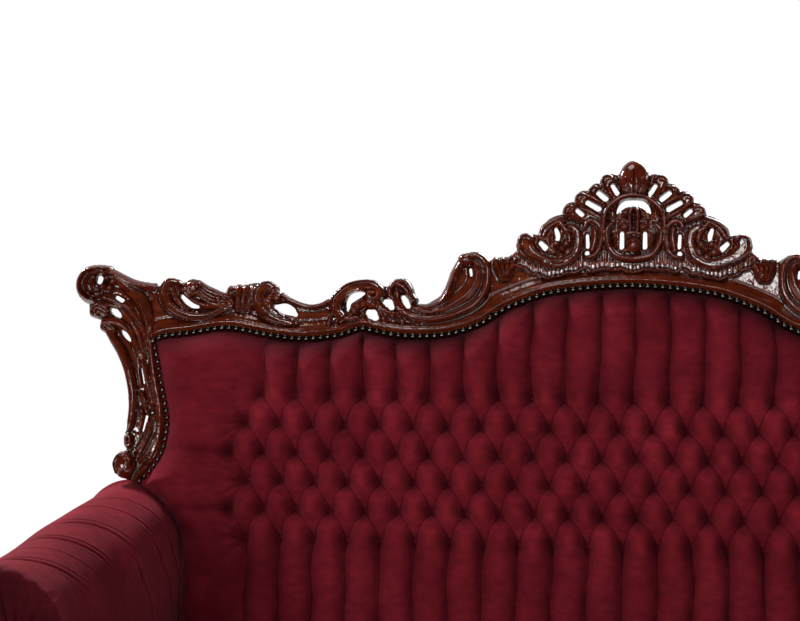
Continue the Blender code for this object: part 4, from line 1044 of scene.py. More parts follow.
def back_nails():
    """Domed antique nails along the edge of the buttoned back; those at its sides turn to the middle."""
    top = evenly(smooth_rows(NAIL_TOP) * MM, NAIL_PITCH)
    side = evenly(smooth_rows(NAIL_SIDE) * MM, NAIL_PITCH)[1:]
    half = np.vstack([top, side])
    turn = np.concatenate([np.zeros(len(top)), np.full(len(side), SIDE_NAIL_TURN)])
    places = np.vstack([half, half[1:] * [-1, 1]])
    turn = np.concatenate([turn, -turn[1:]])[:, None]
    narrow = np.where(turn == 0, 1.0, SIDE_NAIL_WIDTH)
    centres = on_back(places[:, 0], places[:, 1], PAD_RIM + NAIL_SEAT)
    along = narrow * (np.cos(turn) * RIGHT + np.sin(turn) * OFF_SLOPE)
    out = np.cos(turn) * OFF_SLOPE - np.sin(turn) * RIGHT
    nails = domes("back_nails", centres, along, UP_SLOPE, out, NAIL_RADIUS, NAIL_RISE, NAIL_SIDES)
    place(nails, "sofa", BRONZE, ["back_nail_trim"])


buttoned_back()
back_nails()


# Swept pieces

def swept(name, rings, turned=False, values=None):
    """A closed piece through rings of points, with a fan at each end; turned rings run the other way."""
    rows, columns = rings.shape[:2]
    index = np.arange(rows * columns).reshape(rows, columns)
    after = np.roll(index, -1, axis=1)
    walls = np.stack([index[:-1], after[:-1], after[1:], index[1:]], -1).reshape(-1, 4)
    hub = np.full(columns, rows * columns)
    start = np.stack([after[0], index[0], hub, hub], -1)
    end = np.stack([index[-1], after[-1], hub + 1, hub + 1], -1)
    faces = np.vstack([walls, start, end])
    points = np.vstack([rings.reshape(-1, 3), rings[0].mean(axis=0), rings[-1].mean(axis=0)])
    if turned:
        faces = faces[:, [1, 0, 3, 2]]
    if values:
        values = {key: np.append(value.ravel(), (value[0, 0], value[-1, 0]))
                  for key, value in values.items()}
    return mesh_object(name, points, faces, True, values)


def cord_round(name, path, radius, up=UP, sides=8):
    """A closed cord: a circle in the plane across the way at each point of a closed path."""
    way = np.roll(path, -1, axis=0) - np.roll(path, 1, axis=0)
    flat = np.cross(way, up)
    flat /= np.linalg.norm(flat, axis=1)[:, None]
    rise = np.cross(flat, way)
    rise /= np.linalg.norm(rise, axis=1)[:, None]
    turn = np.arange(sides)[None, :, None] * 2 * math.pi / sides
    points = path[:, None] + radius * (np.cos(turn) * flat[:, None] + np.sin(turn) * rise[:, None])
    index = np.arange(len(path) * sides).reshape(len(path), sides)
    onward = np.roll(index, -1, axis=0)
    faces = np.stack([index, onward, np.roll(onward, -1, axis=1), np.roll(index, -1, axis=1)], -1)
    return mesh_object(name, points, faces.reshape(-1, 4))


# Arms

ROLL_X = 0.885
ROLL_Z = 0.618
ROLL_RADIUS = 0.100
ARM_INNER_X = 0.782
ARM_FRONT_Y = -0.388
ARM_FACE_Y = -0.389
ARM_END_ROUND = 0.012
ARM_TUCK = math.radians(65.0)
ARM_BOTTOM = 0.3265
BOARD_IN = 0.8195
BOARD_OUT = 0.8605
BOARD_TOP = 0.6690
ARM_REAR_W = -0.034
ARM_HUB = (0.845, 0.600)
WALL_STEPS = 24
ROLL_STEPS = 76
UNDER_STEPS = 5
TURN_ROWS = 12
LENGTH_ROWS = 440
FACE_SHARES = np.linspace(0.16, 1, 14, endpoint=False)
FACE_BULGE = 0.016
# Painted shade on the arm: where it starts towards the front face
FACE_SHADE_Y = -0.335
# Creases round the roll: place on its top, lean to the back on its inner side, depth
ARM_CREASES = ((-0.287, 0.052, 0.0036), (-0.268, 0.050, 0.0014), (-0.205, 0.035, 0.0012),
               (-0.140, 0.030, 0.0034), (-0.122, 0.024, 0.0018), (-0.038, 0.058, 0.0032),
               (-0.018, 0.060, 0.0016), (0.092, 0.040, 0.0016), (0.168, 0.036, 0.0014))
# Creases up the inner wall: place at 0.55 m up, lean to the front with the height
WALL_CREASES = ((0.056, 0.58), (0.174, 0.54), (0.232, 0.40))
WALL_CREASE_Z = 0.550
WALL_CREASE_DEEP = 0.0032
# Gathers at the front edge: the length they fade over, their height and what they lie in by
GATHER_REACH = 0.055
GATHER_RISE = 0.0050
GATHER_SINK = 0.0028
# The swell of the top against the post's foot
SWELL_Y = 0.320
SWELL_WIDTH = 0.014
SWELL_RISE = 0.0085
# How dark the painted shade is on the roll's inner side
INNER_SHADE = 0.45
ARM_SHARP = math.radians(70.0)


def arm_section():
    """Points (x, z) of the cover's section, the way out at each, and the turn round the roll.

    The inner wall runs up, the roll goes over it by a circle and tucks under, and the last points go round
    the core board.
    """
    rise = np.linspace(0, 1, WALL_STEPS, endpoint=False)
    wall_z = ARM_BOTTOM + (ROLL_Z - ARM_BOTTOM) * rise
    wall_x = ARM_INNER_X - 0.006 * bell(wall_z - 0.565, 0.040) + 0.003 * rise
    turn = np.linspace(math.pi, -ARM_TUCK, ROLL_STEPS)
    round_way = np.stack([np.cos(turn), np.sin(turn)], -1)
    tuck_z = ROLL_Z - ROLL_RADIUS * math.sin(ARM_TUCK)
    under = [(BOARD_OUT + 0.010, tuck_z), (BOARD_OUT, tuck_z + 0.004), (BOARD_OUT, BOARD_TOP),
             (BOARD_IN, BOARD_TOP), (BOARD_IN, ARM_BOTTOM)]
    points = np.vstack([np.stack([wall_x, wall_z], -1), [ROLL_X, ROLL_Z] + ROLL_RADIUS * round_way, under])
    way = np.vstack([np.tile([-1.0, 0.0], (WALL_STEPS, 1)), round_way, np.zeros((UNDER_STEPS, 2))])
    return points, way, np.concatenate([np.full(WALL_STEPS, math.pi), turn, np.zeros(UNDER_STEPS)])


def arm_creases(y, z, turn):
    """How far the arm's cover stands out or lies in for its creases.

    A crease is a bell-shaped trough and ridge side by side. Those round the roll run further back on its
    inner side, and those on the inner wall lean to the front with the height.
    """
    inner = np.clip((turn - math.radians(80.0)) / math.radians(75.0), -0.3, 1.2)
    shown = np.exp(-((turn - math.radians(115.0)) / math.radians(42.0)) ** 4)
    rise = 0 * y
    for place_y, lean, deep in ARM_CREASES:
        off = y - place_y - lean * inner * np.abs(inner)
        rise += deep * shown * (0.4 * bell(off - 0.005, 0.004) - 0.8 * bell(off, 0.0020))
    upright = np.exp(-((z - 0.560) / 0.095) ** 4) * (turn > math.radians(120.0))
    for place_y, lean in WALL_CREASES:
        off = y - place_y + lean * (z - WALL_CREASE_Z)
        rise += WALL_CREASE_DEEP * upright * (bell(off - 0.003, 0.0035) - 0.5 * bell(off + 0.003, 0.003))
    return rise


def arm_lengths(points):
    """Y of each ring of the arm, and how far each is drawn in.

    The front edge turns in by a quarter round, and the rear end follows the raked back.
    """
    bend = np.linspace(0, math.pi / 2, TURN_ROWS)
    body_y = ARM_FACE_Y + ARM_END_ROUND
    rear = BACK_Y + ((points[:, 1] - BACK_Z) * math.sin(RAKE) - ARM_REAR_W) / math.cos(RAKE)
    share = np.linspace(0, 1, LENGTH_ROWS + 1)[1:, None]
    turned_y = np.repeat((ARM_FACE_Y + ARM_END_ROUND * (1 - np.cos(bend)))[:, None], len(points), 1)
    y = np.vstack([turned_y, body_y + share * (rear - body_y), rear[None] + 0.0004])
    drawn_in = np.concatenate([ARM_END_ROUND * (1 - np.sin(bend)), np.zeros(LENGTH_ROWS + 1)])[:, None]
    return y, drawn_in


def arm_roll(side):
    """A padded roll arm: the section swept from the front to the raked back.

    Its front edge turns in by a quarter round and is gathered in pleats on the front face towards the
    carved facing. Creases run round the roll where the cover is drawn, and the top swells up to the post's
    foot behind.
    """
    points, way, turn = arm_section()
    columns = np.arange(len(points))
    closed = points.copy()
    closed[1 - UNDER_STEPS:] = [(BOARD_OUT, z) for z in (0.500, 0.440, 0.380, ARM_BOTTOM)]
    soft = columns < WALL_STEPS + ROLL_STEPS
    on_roll = soft * np.clip(columns / WALL_STEPS, 0, 1) ** 2
    y, drawn_in = arm_lengths(points)
    out = arm_creases(y, points[:, 1], turn) - drawn_in * np.where(columns < WALL_STEPS, 0.6, 1.0)
    pleat = np.abs(np.sin(12.5 * turn + 0.7 * np.sin(5 * turn))) ** 0.6
    gathered = np.clip((ARM_FACE_Y + ARM_END_ROUND + 0.040 - y) / GATHER_REACH, 0, 1)
    out += gathered * (GATHER_RISE * pleat - GATHER_SINK)
    out += 0.0009 * np.sin(23 * y + 3.0 * turn) * np.sin(2.2 * turn + 7 * y)
    fall = 0.0022 + 0.0066 * (1 - bell(np.maximum(0.03 - y, 0), 0.11))
    fall *= np.clip((y + 0.375) / 0.100, 0, 1)
    out += (SWELL_RISE * bell(y - SWELL_Y, SWELL_WIDTH) - fall) * np.clip(np.sin(turn), 0, 1)
    base = np.where((y < ARM_FRONT_Y)[..., None], closed, points)
    base[-1] = closed
    section = base + (out * on_roll)[..., None] * way
    rings = np.stack([section[..., 0], y, section[..., 1]], -1)
    hub = np.array([ARM_HUB[0], ARM_FACE_Y, ARM_HUB[1]])
    face = hub + FACE_SHARES[:, None, None] * (rings[0] - hub)
    face[..., 1] -= FACE_BULGE * np.sin(math.pi * FACE_SHARES)[:, None] * (0.65 + 0.35 * pleat) * soft
    # Painted shade: the front face is fully dark and the roll darkens towards it; the inner side is darkened
    # towards the front
    arm_shade = np.clip((FACE_SHADE_Y - y) / (FACE_SHADE_Y - ARM_FACE_Y), 0, 1) ** 2
    inside = np.clip((turn - math.radians(100.0)) / math.radians(35.0), 0, 1)
    inside = inside * np.clip((0.05 - y) / 0.20, 0, 1)
    arm_shade = np.maximum(arm_shade, INNER_SHADE * inside) * soft
    shade = {"painted_shade": np.vstack([np.repeat(arm_shade[:1], len(FACE_SHARES), 0), arm_shade])}
    arm = swept("arm_roll_" + hand(side), np.concatenate([face, rings]) * [side, 1, 1], side < 0, shade)
    arm.data.set_sharp_from_angle(angle=ARM_SHARP)
    place(arm, "sofa", VELVET, ["arm_pad_" + hand(side)])


arm_roll(-1)
arm_roll(1)


# Seat

CUSHIONS = ("seat_cushion_left", "seat_cushion_middle", "seat_cushion_right")
CUSHION_START = 0.005
CUSHION_CAP = 0.020
CUSHION_VOXEL = 0.006
CUSHION_CORNER = 14.0
CUSHION_CROWN_ROOM = 0.012
CUSHION_LIFT = 0.001
CUSHION_SIDES = 128
CUSHION_DENT = 0.0016
FILLING_FRAMES = 20
FILLING_PRESSURE = 4.0
FILLING_QUALITY = 4
WELT_RADIUS = 0.0040
WELT_POINTS = 260
# Share of the height, inset and squareness of each ring of the cushion before it is filled
CUSHION_RISE = np.array([0.0, 0.0, 0.0, 0.03, 0.10, 0.28, 0.46, 0.64, 0.74, 0.78, 0.83, 0.87, 0.91, 0.945,
                         0.97, 0.988, 0.997, 1.0])
CUSHION_INSET = np.array([0.22, 0.10, 0.012, 0.003, 0.0, 0.003, 0.005, 0.003, 0.0, 0.001, 0.008, 0.02, 0.04,
                          0.07, 0.105, 0.145, 0.19, 0.24])
CUSHION_POWER = np.interp(CUSHION_RISE, [0.78, 0.87, 0.945, 1.0], [CUSHION_CORNER, 8.0, 4.0, 2.4])
# Share of the height at which the welts run
LOWER_WELT = 0.075
UPPER_WELT = 0.765
SMOOTHINGS = 8


def corners(node):
    """A node's lowest and highest corner as arrays."""
    low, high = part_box(node)
    return np.array(low), np.array(high)


def squared_circle(turn, power):
    """Two coordinates at a turn on a circle stretched towards its square, more so with a higher power."""
    c, s = np.cos(turn), np.sin(turn)
    reach = (np.abs(c) ** power + np.abs(s) ** power) ** (-1 / power)
    return reach * c, reach * s


def soft_rectangle(half_x, half_y, count, power=CUSHION_CORNER):
    """A rectangle with soft corners, from a squared circle."""
    turn = (np.arange(count) + 0.5) * 2 * math.pi / count
    across, along = squared_circle(turn, power)
    return np.stack([half_x * across, half_y * along], -1)


def cushion_space(low, high):
    """A cushion's middle, its half size before it is filled and its height without the crown."""
    return (low + high) / 2, (high - low) / 2 - CUSHION_START, high[2] - low[2] - CUSHION_CROWN_ROOM


def evaluated_mesh(obj):
    """The mesh that an object's modifiers give, as a new mesh."""
    shown = obj.evaluated_get(bpy.context.evaluated_depsgraph_get())
    return bpy.data.meshes.new_from_object(shown)


def mesh_points(mesh):
    """A mesh's points as an array."""
    points = np.empty(len(mesh.vertices) * 3)
    mesh.vertices.foreach_get("co", points)
    return points.reshape(-1, 3)


def pressed_out(mesh):
    """Where a closed mesh's points go when it is blown up as a cloth sack for some frames."""
    sack = bpy.data.objects.new("cushion_sack", mesh)
    bpy.context.scene.collection.objects.link(sack)
    filling = sack.modifiers.new("filling", "CLOTH")
    filling.settings.use_pressure = True
    filling.settings.uniform_pressure_force = FILLING_PRESSURE
    filling.settings.effector_weights.gravity = 0.0
    filling.settings.quality = FILLING_QUALITY
    filling.point_cache.frame_start = 1
    filling.point_cache.frame_end = FILLING_FRAMES
    for step in range(1, FILLING_FRAMES + 1):
        bpy.context.scene.frame_set(step)
    points = mesh_points(evaluated_mesh(sack))
    bpy.context.scene.frame_set(1)
    bpy.data.objects.remove(sack)
    return points


def filled_cushion(low, high):
    """A box cushion and its filling: points before and after it is filled, and faces.

    Rings of soft rectangles go up from a flat base, with sides drawn in at half height and a low crown; the
    form is remeshed evenly, pressed out as cloth, and kept to its space.
    """
    middle, half, tall = cushion_space(low, high)
    rings = []
    for rise, inset, power in zip(CUSHION_RISE, CUSHION_INSET, CUSHION_POWER):
        ring = soft_rectangle(half[0] - inset, half[1] - inset, CUSHION_SIDES, power)
        rings.append(np.column_stack([ring, np.full(CUSHION_SIDES, low[2] + CUSHION_LIFT + tall * rise)]))
    form = swept("cushion_form", np.array(rings) + [middle[0], middle[1], 0.0])
    even = form.modifiers.new("even", "REMESH")
    even.mode = "VOXEL"
    even.voxel_size = CUSHION_VOXEL
    mesh = evaluated_mesh(form)
    bpy.data.objects.remove(form)
    before = mesh_points(mesh)
    swell = pressed_out(mesh) - before
    length = np.linalg.norm(swell, axis=1)[:, None]
    swell *= np.minimum(1, CUSHION_CAP / np.maximum(length, 1e-9))
    room = np.minimum(high - before, before - low)
    room[:, 2] = (high - before)[:, 2]
    room = np.maximum(room, 1e-6)
    after = before + room * np.tanh(swell / room)
    after[:, 2] = np.maximum(after[:, 2], low[2] + 0.0008)
    faces = np.empty(len(mesh.loops), np.int32)
    mesh.loops.foreach_get("vertex_index", faces)
    return before, after, faces.reshape(-1, 4)


def carried(path, before, after):
    """A closed path on a surface before it is filled, moved along with its nearest points and smoothed."""
    closest = np.argmin((before ** 2).sum(axis=1) - 2 * path @ before.T, axis=1)
    shift = after[closest] - before[closest]
    for _ in range(SMOOTHINGS):
        shift = (np.roll(shift, 1, axis=0) + shift + np.roll(shift, -1, axis=0)) / 3
    return path + shift


def seat_cushions():
    """Three loose box cushions of velvet with a welt round the top and the bottom edge."""
    low, high = corners(CUSHIONS[1])
    before, after, faces = filled_cushion(low, high)
    middle, half, tall = cushion_space(low, high)
    outline = soft_rectangle(half[0], half[1], WELT_POINTS) + middle[:2]
    welts = {}
    for edge, rise in (("lower", LOWER_WELT), ("upper", UPPER_WELT)):
        path = np.column_stack([outline, np.full(WELT_POINTS, low[2] + tall * rise)])
        welts[edge] = carried(path, before, after)
    for number, node in enumerate(CUSHIONS):
        shift = corners(node)[0] - low
        dents = np.sin(19 * after[:, 0] + 2.1 * number) * np.sin(23 * after[:, 1] + 1.3 * number)
        points = after + shift
        points[:, 2] -= CUSHION_DENT * (1 + dents) * np.clip((after[:, 2] - low[2]) / tall, 0, 1)
        cover = mesh_object(node + "_cover", points, faces)
        place(cover, node, VELVET, [node])
        for edge, path in welts.items():
            welt = cord_round(f"{node}_{edge}_welt", path + shift, WELT_RADIUS)
            place(welt, node, VELVET)


DECK_ROWS = 160
DECK_SIDES = 96
DECK_CORNER = 12
DECK_END_ROUND = 0.012
SPRING_PITCH = 0.1733
SPRING_SWELL = 0.0022
DECK_HEM_LOW = 0.3128
DECK_HEM_LAP = 0.006
DECK_HEM_PROUD = 0.0012


def seat_deck():
    """The sprung platform under the cushions, and the hem that comes down from it under the rail's nails.

    The platform is a slab whose section is a squared circle, lower towards its ends by a quarter round,
    with a top that swells by a cosine between the springs.
    """
    low, high = corners("seat_deck")
    x = np.linspace(low[0] + 0.001, high[0] - 0.001, DECK_ROWS)[:, None]
    turn = np.linspace(0, 2 * math.pi, DECK_SIDES, endpoint=False)
    across, upright = squared_circle(turn, DECK_CORNER)
    half = (high - low) / 2
    ends = np.clip(np.minimum(x - low[0], high[0] - x) / DECK_END_ROUND, 0, 1)
    tall = half[2] * (0.80 + 0.20 * np.sqrt(1 - (1 - ends) ** 2)) - 0.0024
    swell = SPRING_SWELL * np.cos(2 * math.pi * (x - low[0]) / SPRING_PITCH) * ends
    swell = swell * np.clip(np.sin(turn), 0, 1) ** 0.3
    y = (low[1] + high[1]) / 2 + (half[1] - 0.002) * across + 0 * x
    z = low[2] + half[2] + tall * upright + swell
    deck = swept("sprung_deck", np.stack([x + 0 * y, y, z], -1))
    place(deck, "sofa", VELVET, ["seat_deck"])
    face_y = RAIL_FACE_Y - 0.0004
    edge_y = face_y - DECK_HEM_PROUD * (1 - np.cos(turn) ** 8)
    hem_y = np.where(np.sin(turn) > 0, edge_y, face_y)
    hem_z = DECK_HEM_LOW + (low[2] + DECK_HEM_LAP - DECK_HEM_LOW) * (1 + np.cos(turn)) / 2
    section = np.stack([0 * turn, hem_y, hem_z], -1)
    hem = swept("seat_front_hem", section[None] + x[:, :, None] * RIGHT)
    place(hem, "sofa", VELVET)


def rail_nails():
    """Domed nails in a row along the top of the front rail."""
    low, high = corners("seat_nail_trim")
    count = round((high[0] - low[0]) / NAIL_PITCH)
    x = np.linspace(low[0] + NAIL_RADIUS, high[0] - NAIL_RADIUS, count)
    y = RAIL_FACE_Y - DECK_HEM_PROUD - 0.0002
    centres = np.column_stack([x, np.full(count, y), np.full(count, (low[2] + high[2]) / 2)])
    nails = domes("seat_rail_nails", centres, RIGHT, UP, FRONT, NAIL_RADIUS, NAIL_RISE, NAIL_SIDES)
    place(nails, "sofa", BRONZE, ["seat_nail_trim"])


# Carved seat front

RAIL_FACE_Y = -0.409
RAIL_REACH = 0.7957
RAIL_DEEP = 0.0398
APRON_GRID = 0.0020
APRON_BAND = 0.303
APRON_TOP = 324.5
APRON_END = 830
APRON_EDGE = [(0, 170, -6), (48, 183.75, -6), (95, 203, -4), (150, 216.2, 6), (245, 225, 0), (335, 225, 6),
              (450.2, 211.25, -7), (565.4, 197.5, -7), (680.6, 211.25, 6), (784.7, 225, 0), (830, 225, 0)]
BAY_MIDDLE = 565
BAY_V = 252


def on_rail(x, z, w):
    """World points of places on the front rail's face, out to the front by w."""
    return np.stack([x, RAIL_FACE_Y - w, z], -1)


def scroll(x, v, radius, start, turns, half, inner=0.30):
    """A spiral's points round (x, v), its radius and width falling; turns below 0 go clockwise."""
    share = np.linspace(0, 1, max(6, round(10 * abs(turns))))
    angle = math.radians(start) + 2 * math.pi * turns * share
    reach = radius * (1 - (1 - inner) * share)
    narrowed = half * (1 - 0.55 * share)
    return np.column_stack([x + reach * np.cos(angle), v + reach * np.sin(angle), narrowed])


def spoke(x, v, angle, *stations):
    """Points straight out from (x, v) at an angle in degrees; a station is a distance and a half-width."""
    c, s = math.cos(math.radians(angle)), math.sin(math.radians(angle))
    return [(x + reach * c, v + reach * s, half) for reach, half in stations]


def leaf_spray(carving, x, v, way, size, turn):
    """Five pointed leaves fanning out from one place, the middle one longest and the outer ones bowed."""
    for k, share in enumerate((0.62, 0.84, 1.0, 0.84, 0.62)):
        reach = size * share
        inner = spoke(x, v, way + turn * (k - 2), (0, 0.05 * size), (0.55 * reach, 0.10 * size))
        tip = spoke(x, v, way + 1.35 * turn * (k - 2), (reach, 0.04 * size))
        carving.stroke("ridge", 9 + 2 * share, *inner, *tip, wide=1.35)


def carve_apron():
    """The seat rail's front: a shell in the middle drop, scrolls beside it, a flower in each outer bay."""
    carving = Carving((0.0, 0.160), (RAIL_REACH, APRON_TOP * MM), APRON_GRID)
    lower = arc_run(APRON_EDGE)
    carving.plate(both_sides(np.vstack([lower, [(APRON_END, APRON_TOP), (0, APRON_TOP)]])), PLATE_LEVEL)
    edge = nearest(carving.x, carving.v, np.column_stack([lower, np.zeros(len(lower))]) * MM)[0]
    punched = np.sin(carving.x / 0.0016 + 2 * np.sin(carving.v / 0.0021)) * np.sin(carving.v / 0.0017)
    carving.height += 0.0005 * punched * (edge > 0.014) + 0.0065 * bell(edge - 0.006, 0.0045)
    carving.height = np.where(carving.v > APRON_BAND, -0.0008, carving.height)
    carving.height += 0.0040 * bell(carving.v - APRON_BAND + 0.0035, 0.0028)
    leaf_spray(carving, 128, 262, -8, 92, 17)
    carving.stroke("scoop", 12, *scroll(92, 252, 28, 200, -1.35, 7.5))
    carving.stroke("bead", 11, (92, 224, 6), (120, 230, 6.5), (158, 252, 7), (200, 268, 6.5),
                   (238, 262, 5.5), (252, 248, 4.5), (244, 238, 4.0), (234, 244, 3.5))
    carving.stroke("ridge", 10, (150, 240, 4), (182, 240, 6), (212, 245, 3), wide=1.5)
    for k in range(-4, 5):
        reach = 76 - 2.2 * k * k
        carving.stroke("petal", 14,
                       *spoke(0, 254, -90 + 19 * k, (9, 3.5), (0.55 * reach, 8.5), (reach, 10.0)))
    carving.stroke("bead", 13, (0, 284, 5), (20, 281, 5.5), (36, 270, 6), (44, 254, 6), (40, 240, 5),
                   (30, 238, 4))
    carving.dome(17, 0, 262, 17, 14)
    for side in (-1, 1):
        leaf_spray(carving, BAY_MIDDLE + side * 34, BAY_V, 90 - side * 82, 96, 15)
        branch = [(22, -26, 5), (60, -30, 6), (104, -16, 6.5), (142, 10, 6.5), (176, 24, 6), (200, 12, 5),
                  (196, -4, 4), (184, -2, 3.5)]
        carving.stroke("bead", 11, *[(BAY_MIDDLE + side * x, BAY_V + v, half) for x, v, half in branch])
        twig = [(96, 10, 3), (124, 28, 5), (160, 37, 3)]
        carving.stroke("ridge", 10, *[(BAY_MIDDLE + side * x, BAY_V + v, half) for x, v, half in twig],
                       wide=1.5)
    for k in range(8):
        carving.stroke("leaf", 12, *spoke(BAY_MIDDLE, BAY_V, 45 * k + 22.5, (8, 5), (20, 8.5), (30, 5)))
    carving.dome(15, BAY_MIDDLE, BAY_V, 9, 9)
    apron = carving.body("seat_rail_carving", joints=(RAIL_REACH,), both=True, to_world=on_rail,
                         thickness=RAIL_DEEP)
    place(apron, "sofa", CARVED_MAHOGANY, ["front_seat_rail"])


FACING_FACE_Y = -0.4103
FACING_DEEP = 0.022
FACING_LOW = 325.5
VOLUTE_X = 885
VOLUTE_Z = 608
VOLUTE_RADIUS = 44


def on_facing(x, z, w):
    """World points of places on the arm facing's front, out by w."""
    return np.stack([x, FACING_FACE_Y - w, z], -1)


def carve_facings():
    """The carved arm fronts: a volute that winds up on the roll, a reeded stem and a leaf at its foot."""
    carving = Carving((0.790, FACING_LOW * MM), (0.948, 0.682))
    turn = np.radians(np.linspace(-52, 222, 40))
    volute = np.column_stack([VOLUTE_X + VOLUTE_RADIUS * np.cos(turn),
                              VOLUTE_Z + VOLUTE_RADIUS * np.sin(turn)])
    inner = arc_run([(*volute[-1], 14), (799, FACING_LOW, 0)])[1:]
    outer = arc_run([(863, FACING_LOW, 22), (*volute[0], 0)])[:-1]
    carving.plate(np.vstack([volute, inner, outer]), PLATE_LEVEL)
    carving.stroke("ridge", 8, (806, 335, 4), (822, 400, 5), (836, 470, 5), (845, 540, 4.5), (846, 570, 4),
                   wide=1.4)
    carving.stroke("ridge", 8, (857, 335, 4), (856, 400, 5), (864, 470, 5), (884, 540, 5), (900, 566, 4),
                   wide=1.4)
    carving.stroke("leaf", 12, (831, 332, 9), (838, 380, 15), (847, 440, 13), (856, 500, 9), (864, 548, 4))
    carving.stroke("ridge", 12, (831, 330, 7), (814, 352, 8), (812, 384, 3), wide=1.3)
    carving.stroke("ridge", 12, (831, 330, 7), (848, 352, 8), (856, 384, 3), wide=1.3)
    carving.stroke("scoop", 13, (840, 516, 5), (841, 562, 7),
                   *scroll(VOLUTE_X, VOLUTE_Z, 36, 205, -1.9, 8.6, 0.16))
    carving.dome(16, VOLUTE_X, VOLUTE_Z, 9, 9)
    carving.pair("arm_facing", to_world=on_facing, thickness=FACING_DEEP)


seat_cushions()
seat_deck()
rail_nails()
carve_apron()
carve_facings()


# Legs

LEG_BLOCK = 0.070
LEG_Y = -0.380
LEG_TOP = 0.2247
CORNER_TOP = 0.3250
CORNER_LEG_X = 0.831
MIDDLE_LEG_X = 0.290
LEG_SIDES = 96
LEG_ROWS = 130
LEAF_RISE = 0.0030
ROSETTE_RADIUS = 0.026
ROSETTE_RINGS = 25
ROSETTE_SIDES = 96
# Share of the height from the floor up, offset outwards and radius, as in the solid model
LEG_PROFILE = np.array([(0.000, 0.020, 0.0230), (0.030, 0.021, 0.0270), (0.090, 0.017, 0.0265),
                        (0.170, 0.004, 0.0185), (0.270, -0.003, 0.0165), (0.420, 0.001, 0.0190),
                        (0.580, 0.010, 0.0240), (0.740, 0.019, 0.0310), (0.880, 0.019, 0.0360),
                        (0.970, 0.010, 0.0350)])
# Share of the height at which the leg starts to go over to its square block
SQUARE_START = 0.955
LEG_SHARP = math.radians(40.0)
# Two grooves round a corner leg's block: share of the block's height, and how deep the face lies there
BLOCK_RISE = np.array([0.03, 0.05, 0.07, 0.09, 0.5, 0.91, 0.93, 0.95, 0.97, 1.0])[:, None]
BLOCK_CUT = 0.0022 * np.array([0, 1, 1, 0, 0, 0, 1, 1, 0, 0])[:, None]


def cabriole_leg(node, x, outward, top):
    """A cabriole leg: rings along the profile, an acanthus leaf over the knee and a ribbed, scrolled toe.

    The radius at a turn round the leg grows by the leaf's height: lobes that narrow down the shin, a midrib
    and veins. Near the top the ring goes over from round to the square block.
    """
    height = np.linspace(0, 1, LEG_ROWS)[:, None]
    offset = np.interp(height, *smooth_rows(LEG_PROFILE[:, [0, 1]], 0.01).T)
    radius = np.interp(height, *smooth_rows(LEG_PROFILE[:, [0, 2]], 0.01).T)
    turn = np.arange(LEG_SIDES) * 2 * math.pi / LEG_SIDES
    away = np.abs((turn - math.atan2(outward[1], outward[0]) + math.pi) % (2 * math.pi) - math.pi)
    knee = np.clip((height - 0.34) / 0.5, 0, 1)
    lobes = 1.25 * knee ** 0.7 * (0.80 + 0.20 * np.cos(34 * height))
    inside = np.clip((lobes - away) / 0.14, 0, 1) * (height < SQUARE_START)
    leaf = LEAF_RISE + 0.0010 * np.cos(46 * (height - 0.16 * away)) + 0.0016 * bell(away, 0.07)
    toe = np.clip((0.115 - height) / 0.03, 0, 1) * np.exp(-(away / 0.9) ** 4)
    reach = radius - LEAF_RISE * np.clip(3 * knee, 0, 1) + inside * leaf
    reach = reach + toe * (0.0026 * np.abs(np.cos(4.5 * away)) - 0.0020)
    square = LEG_BLOCK / 2 / np.maximum(np.abs(np.cos(turn)), np.abs(np.sin(turn)))
    squared = np.clip((height - SQUARE_START) / (1 - SQUARE_START), 0, 1) ** 1.5
    reach = reach + (square - reach) * squared
    shift = offset * (1 - squared) / math.hypot(*outward)
    z = height * LEG_TOP
    if top > LEG_TOP:
        reach = np.vstack([reach, square * (1 - BLOCK_CUT / (LEG_BLOCK / 2))])
        shift = np.vstack([shift, 0 * BLOCK_RISE])
        z = np.vstack([z, LEG_TOP + BLOCK_RISE * (top - LEG_TOP)])
    rings = np.stack([x + shift * outward[0] + reach * np.cos(turn),
                      LEG_Y + shift * outward[1] + reach * np.sin(turn), z + 0 * reach], -1)
    leg = swept(node + "_carving", rings)
    leg.data.set_sharp_from_angle(angle=LEG_SHARP)
    place(leg, "sofa", MAHOGANY, [node])


def rosette(name, centre, across, out):
    """A carved flower: an eye, eight petals and a rim, its height by the distance from the middle."""
    reach = np.linspace(1, 0, ROSETTE_RINGS, endpoint=False)[:, None]
    turn = np.arange(ROSETTE_SIDES) * 2 * math.pi / ROSETTE_SIDES
    petals = 0.45 + 0.275 * (1 + np.cos(8 * turn))
    rise = 0.0052 * bell(reach, 0.22) + 0.0046 * petals * bell(reach - 0.55, 0.24)
    rise = (rise + 0.0034 * bell(reach - 0.92, 0.06)) * (reach < 1) - 0.0006
    flat = ROSETTE_RADIUS * (np.cos(turn)[:, None] * across + np.sin(turn)[:, None] * UP)
    points = centre + reach[..., None] * flat + rise[..., None] * out
    piece = swept(name, points, np.cross(across, UP) @ out < 0)
    place(piece, "sofa", MAHOGANY)


def front_legs():
    """Four cabriole legs, with a rosette on the front and the outer face of each corner block."""
    block_z = (LEG_TOP + CORNER_TOP) / 2
    for side in (-1, 1):
        x = side * CORNER_LEG_X
        cabriole_leg("front_leg_" + hand(side), x, (side, -1.0), CORNER_TOP)
        cabriole_leg("front_leg_middle_" + hand(side), side * MIDDLE_LEG_X, (0.0, -1.0), 0.0)
        centre = np.array([x, LEG_Y, block_z])
        rosette("front_rosette_" + hand(side), centre + FRONT * LEG_BLOCK / 2, RIGHT, FRONT)
        rosette("side_rosette_" + hand(side), centre + side * RIGHT * LEG_BLOCK / 2, -FRONT, side * RIGHT)


front_legs()


# Outside covers

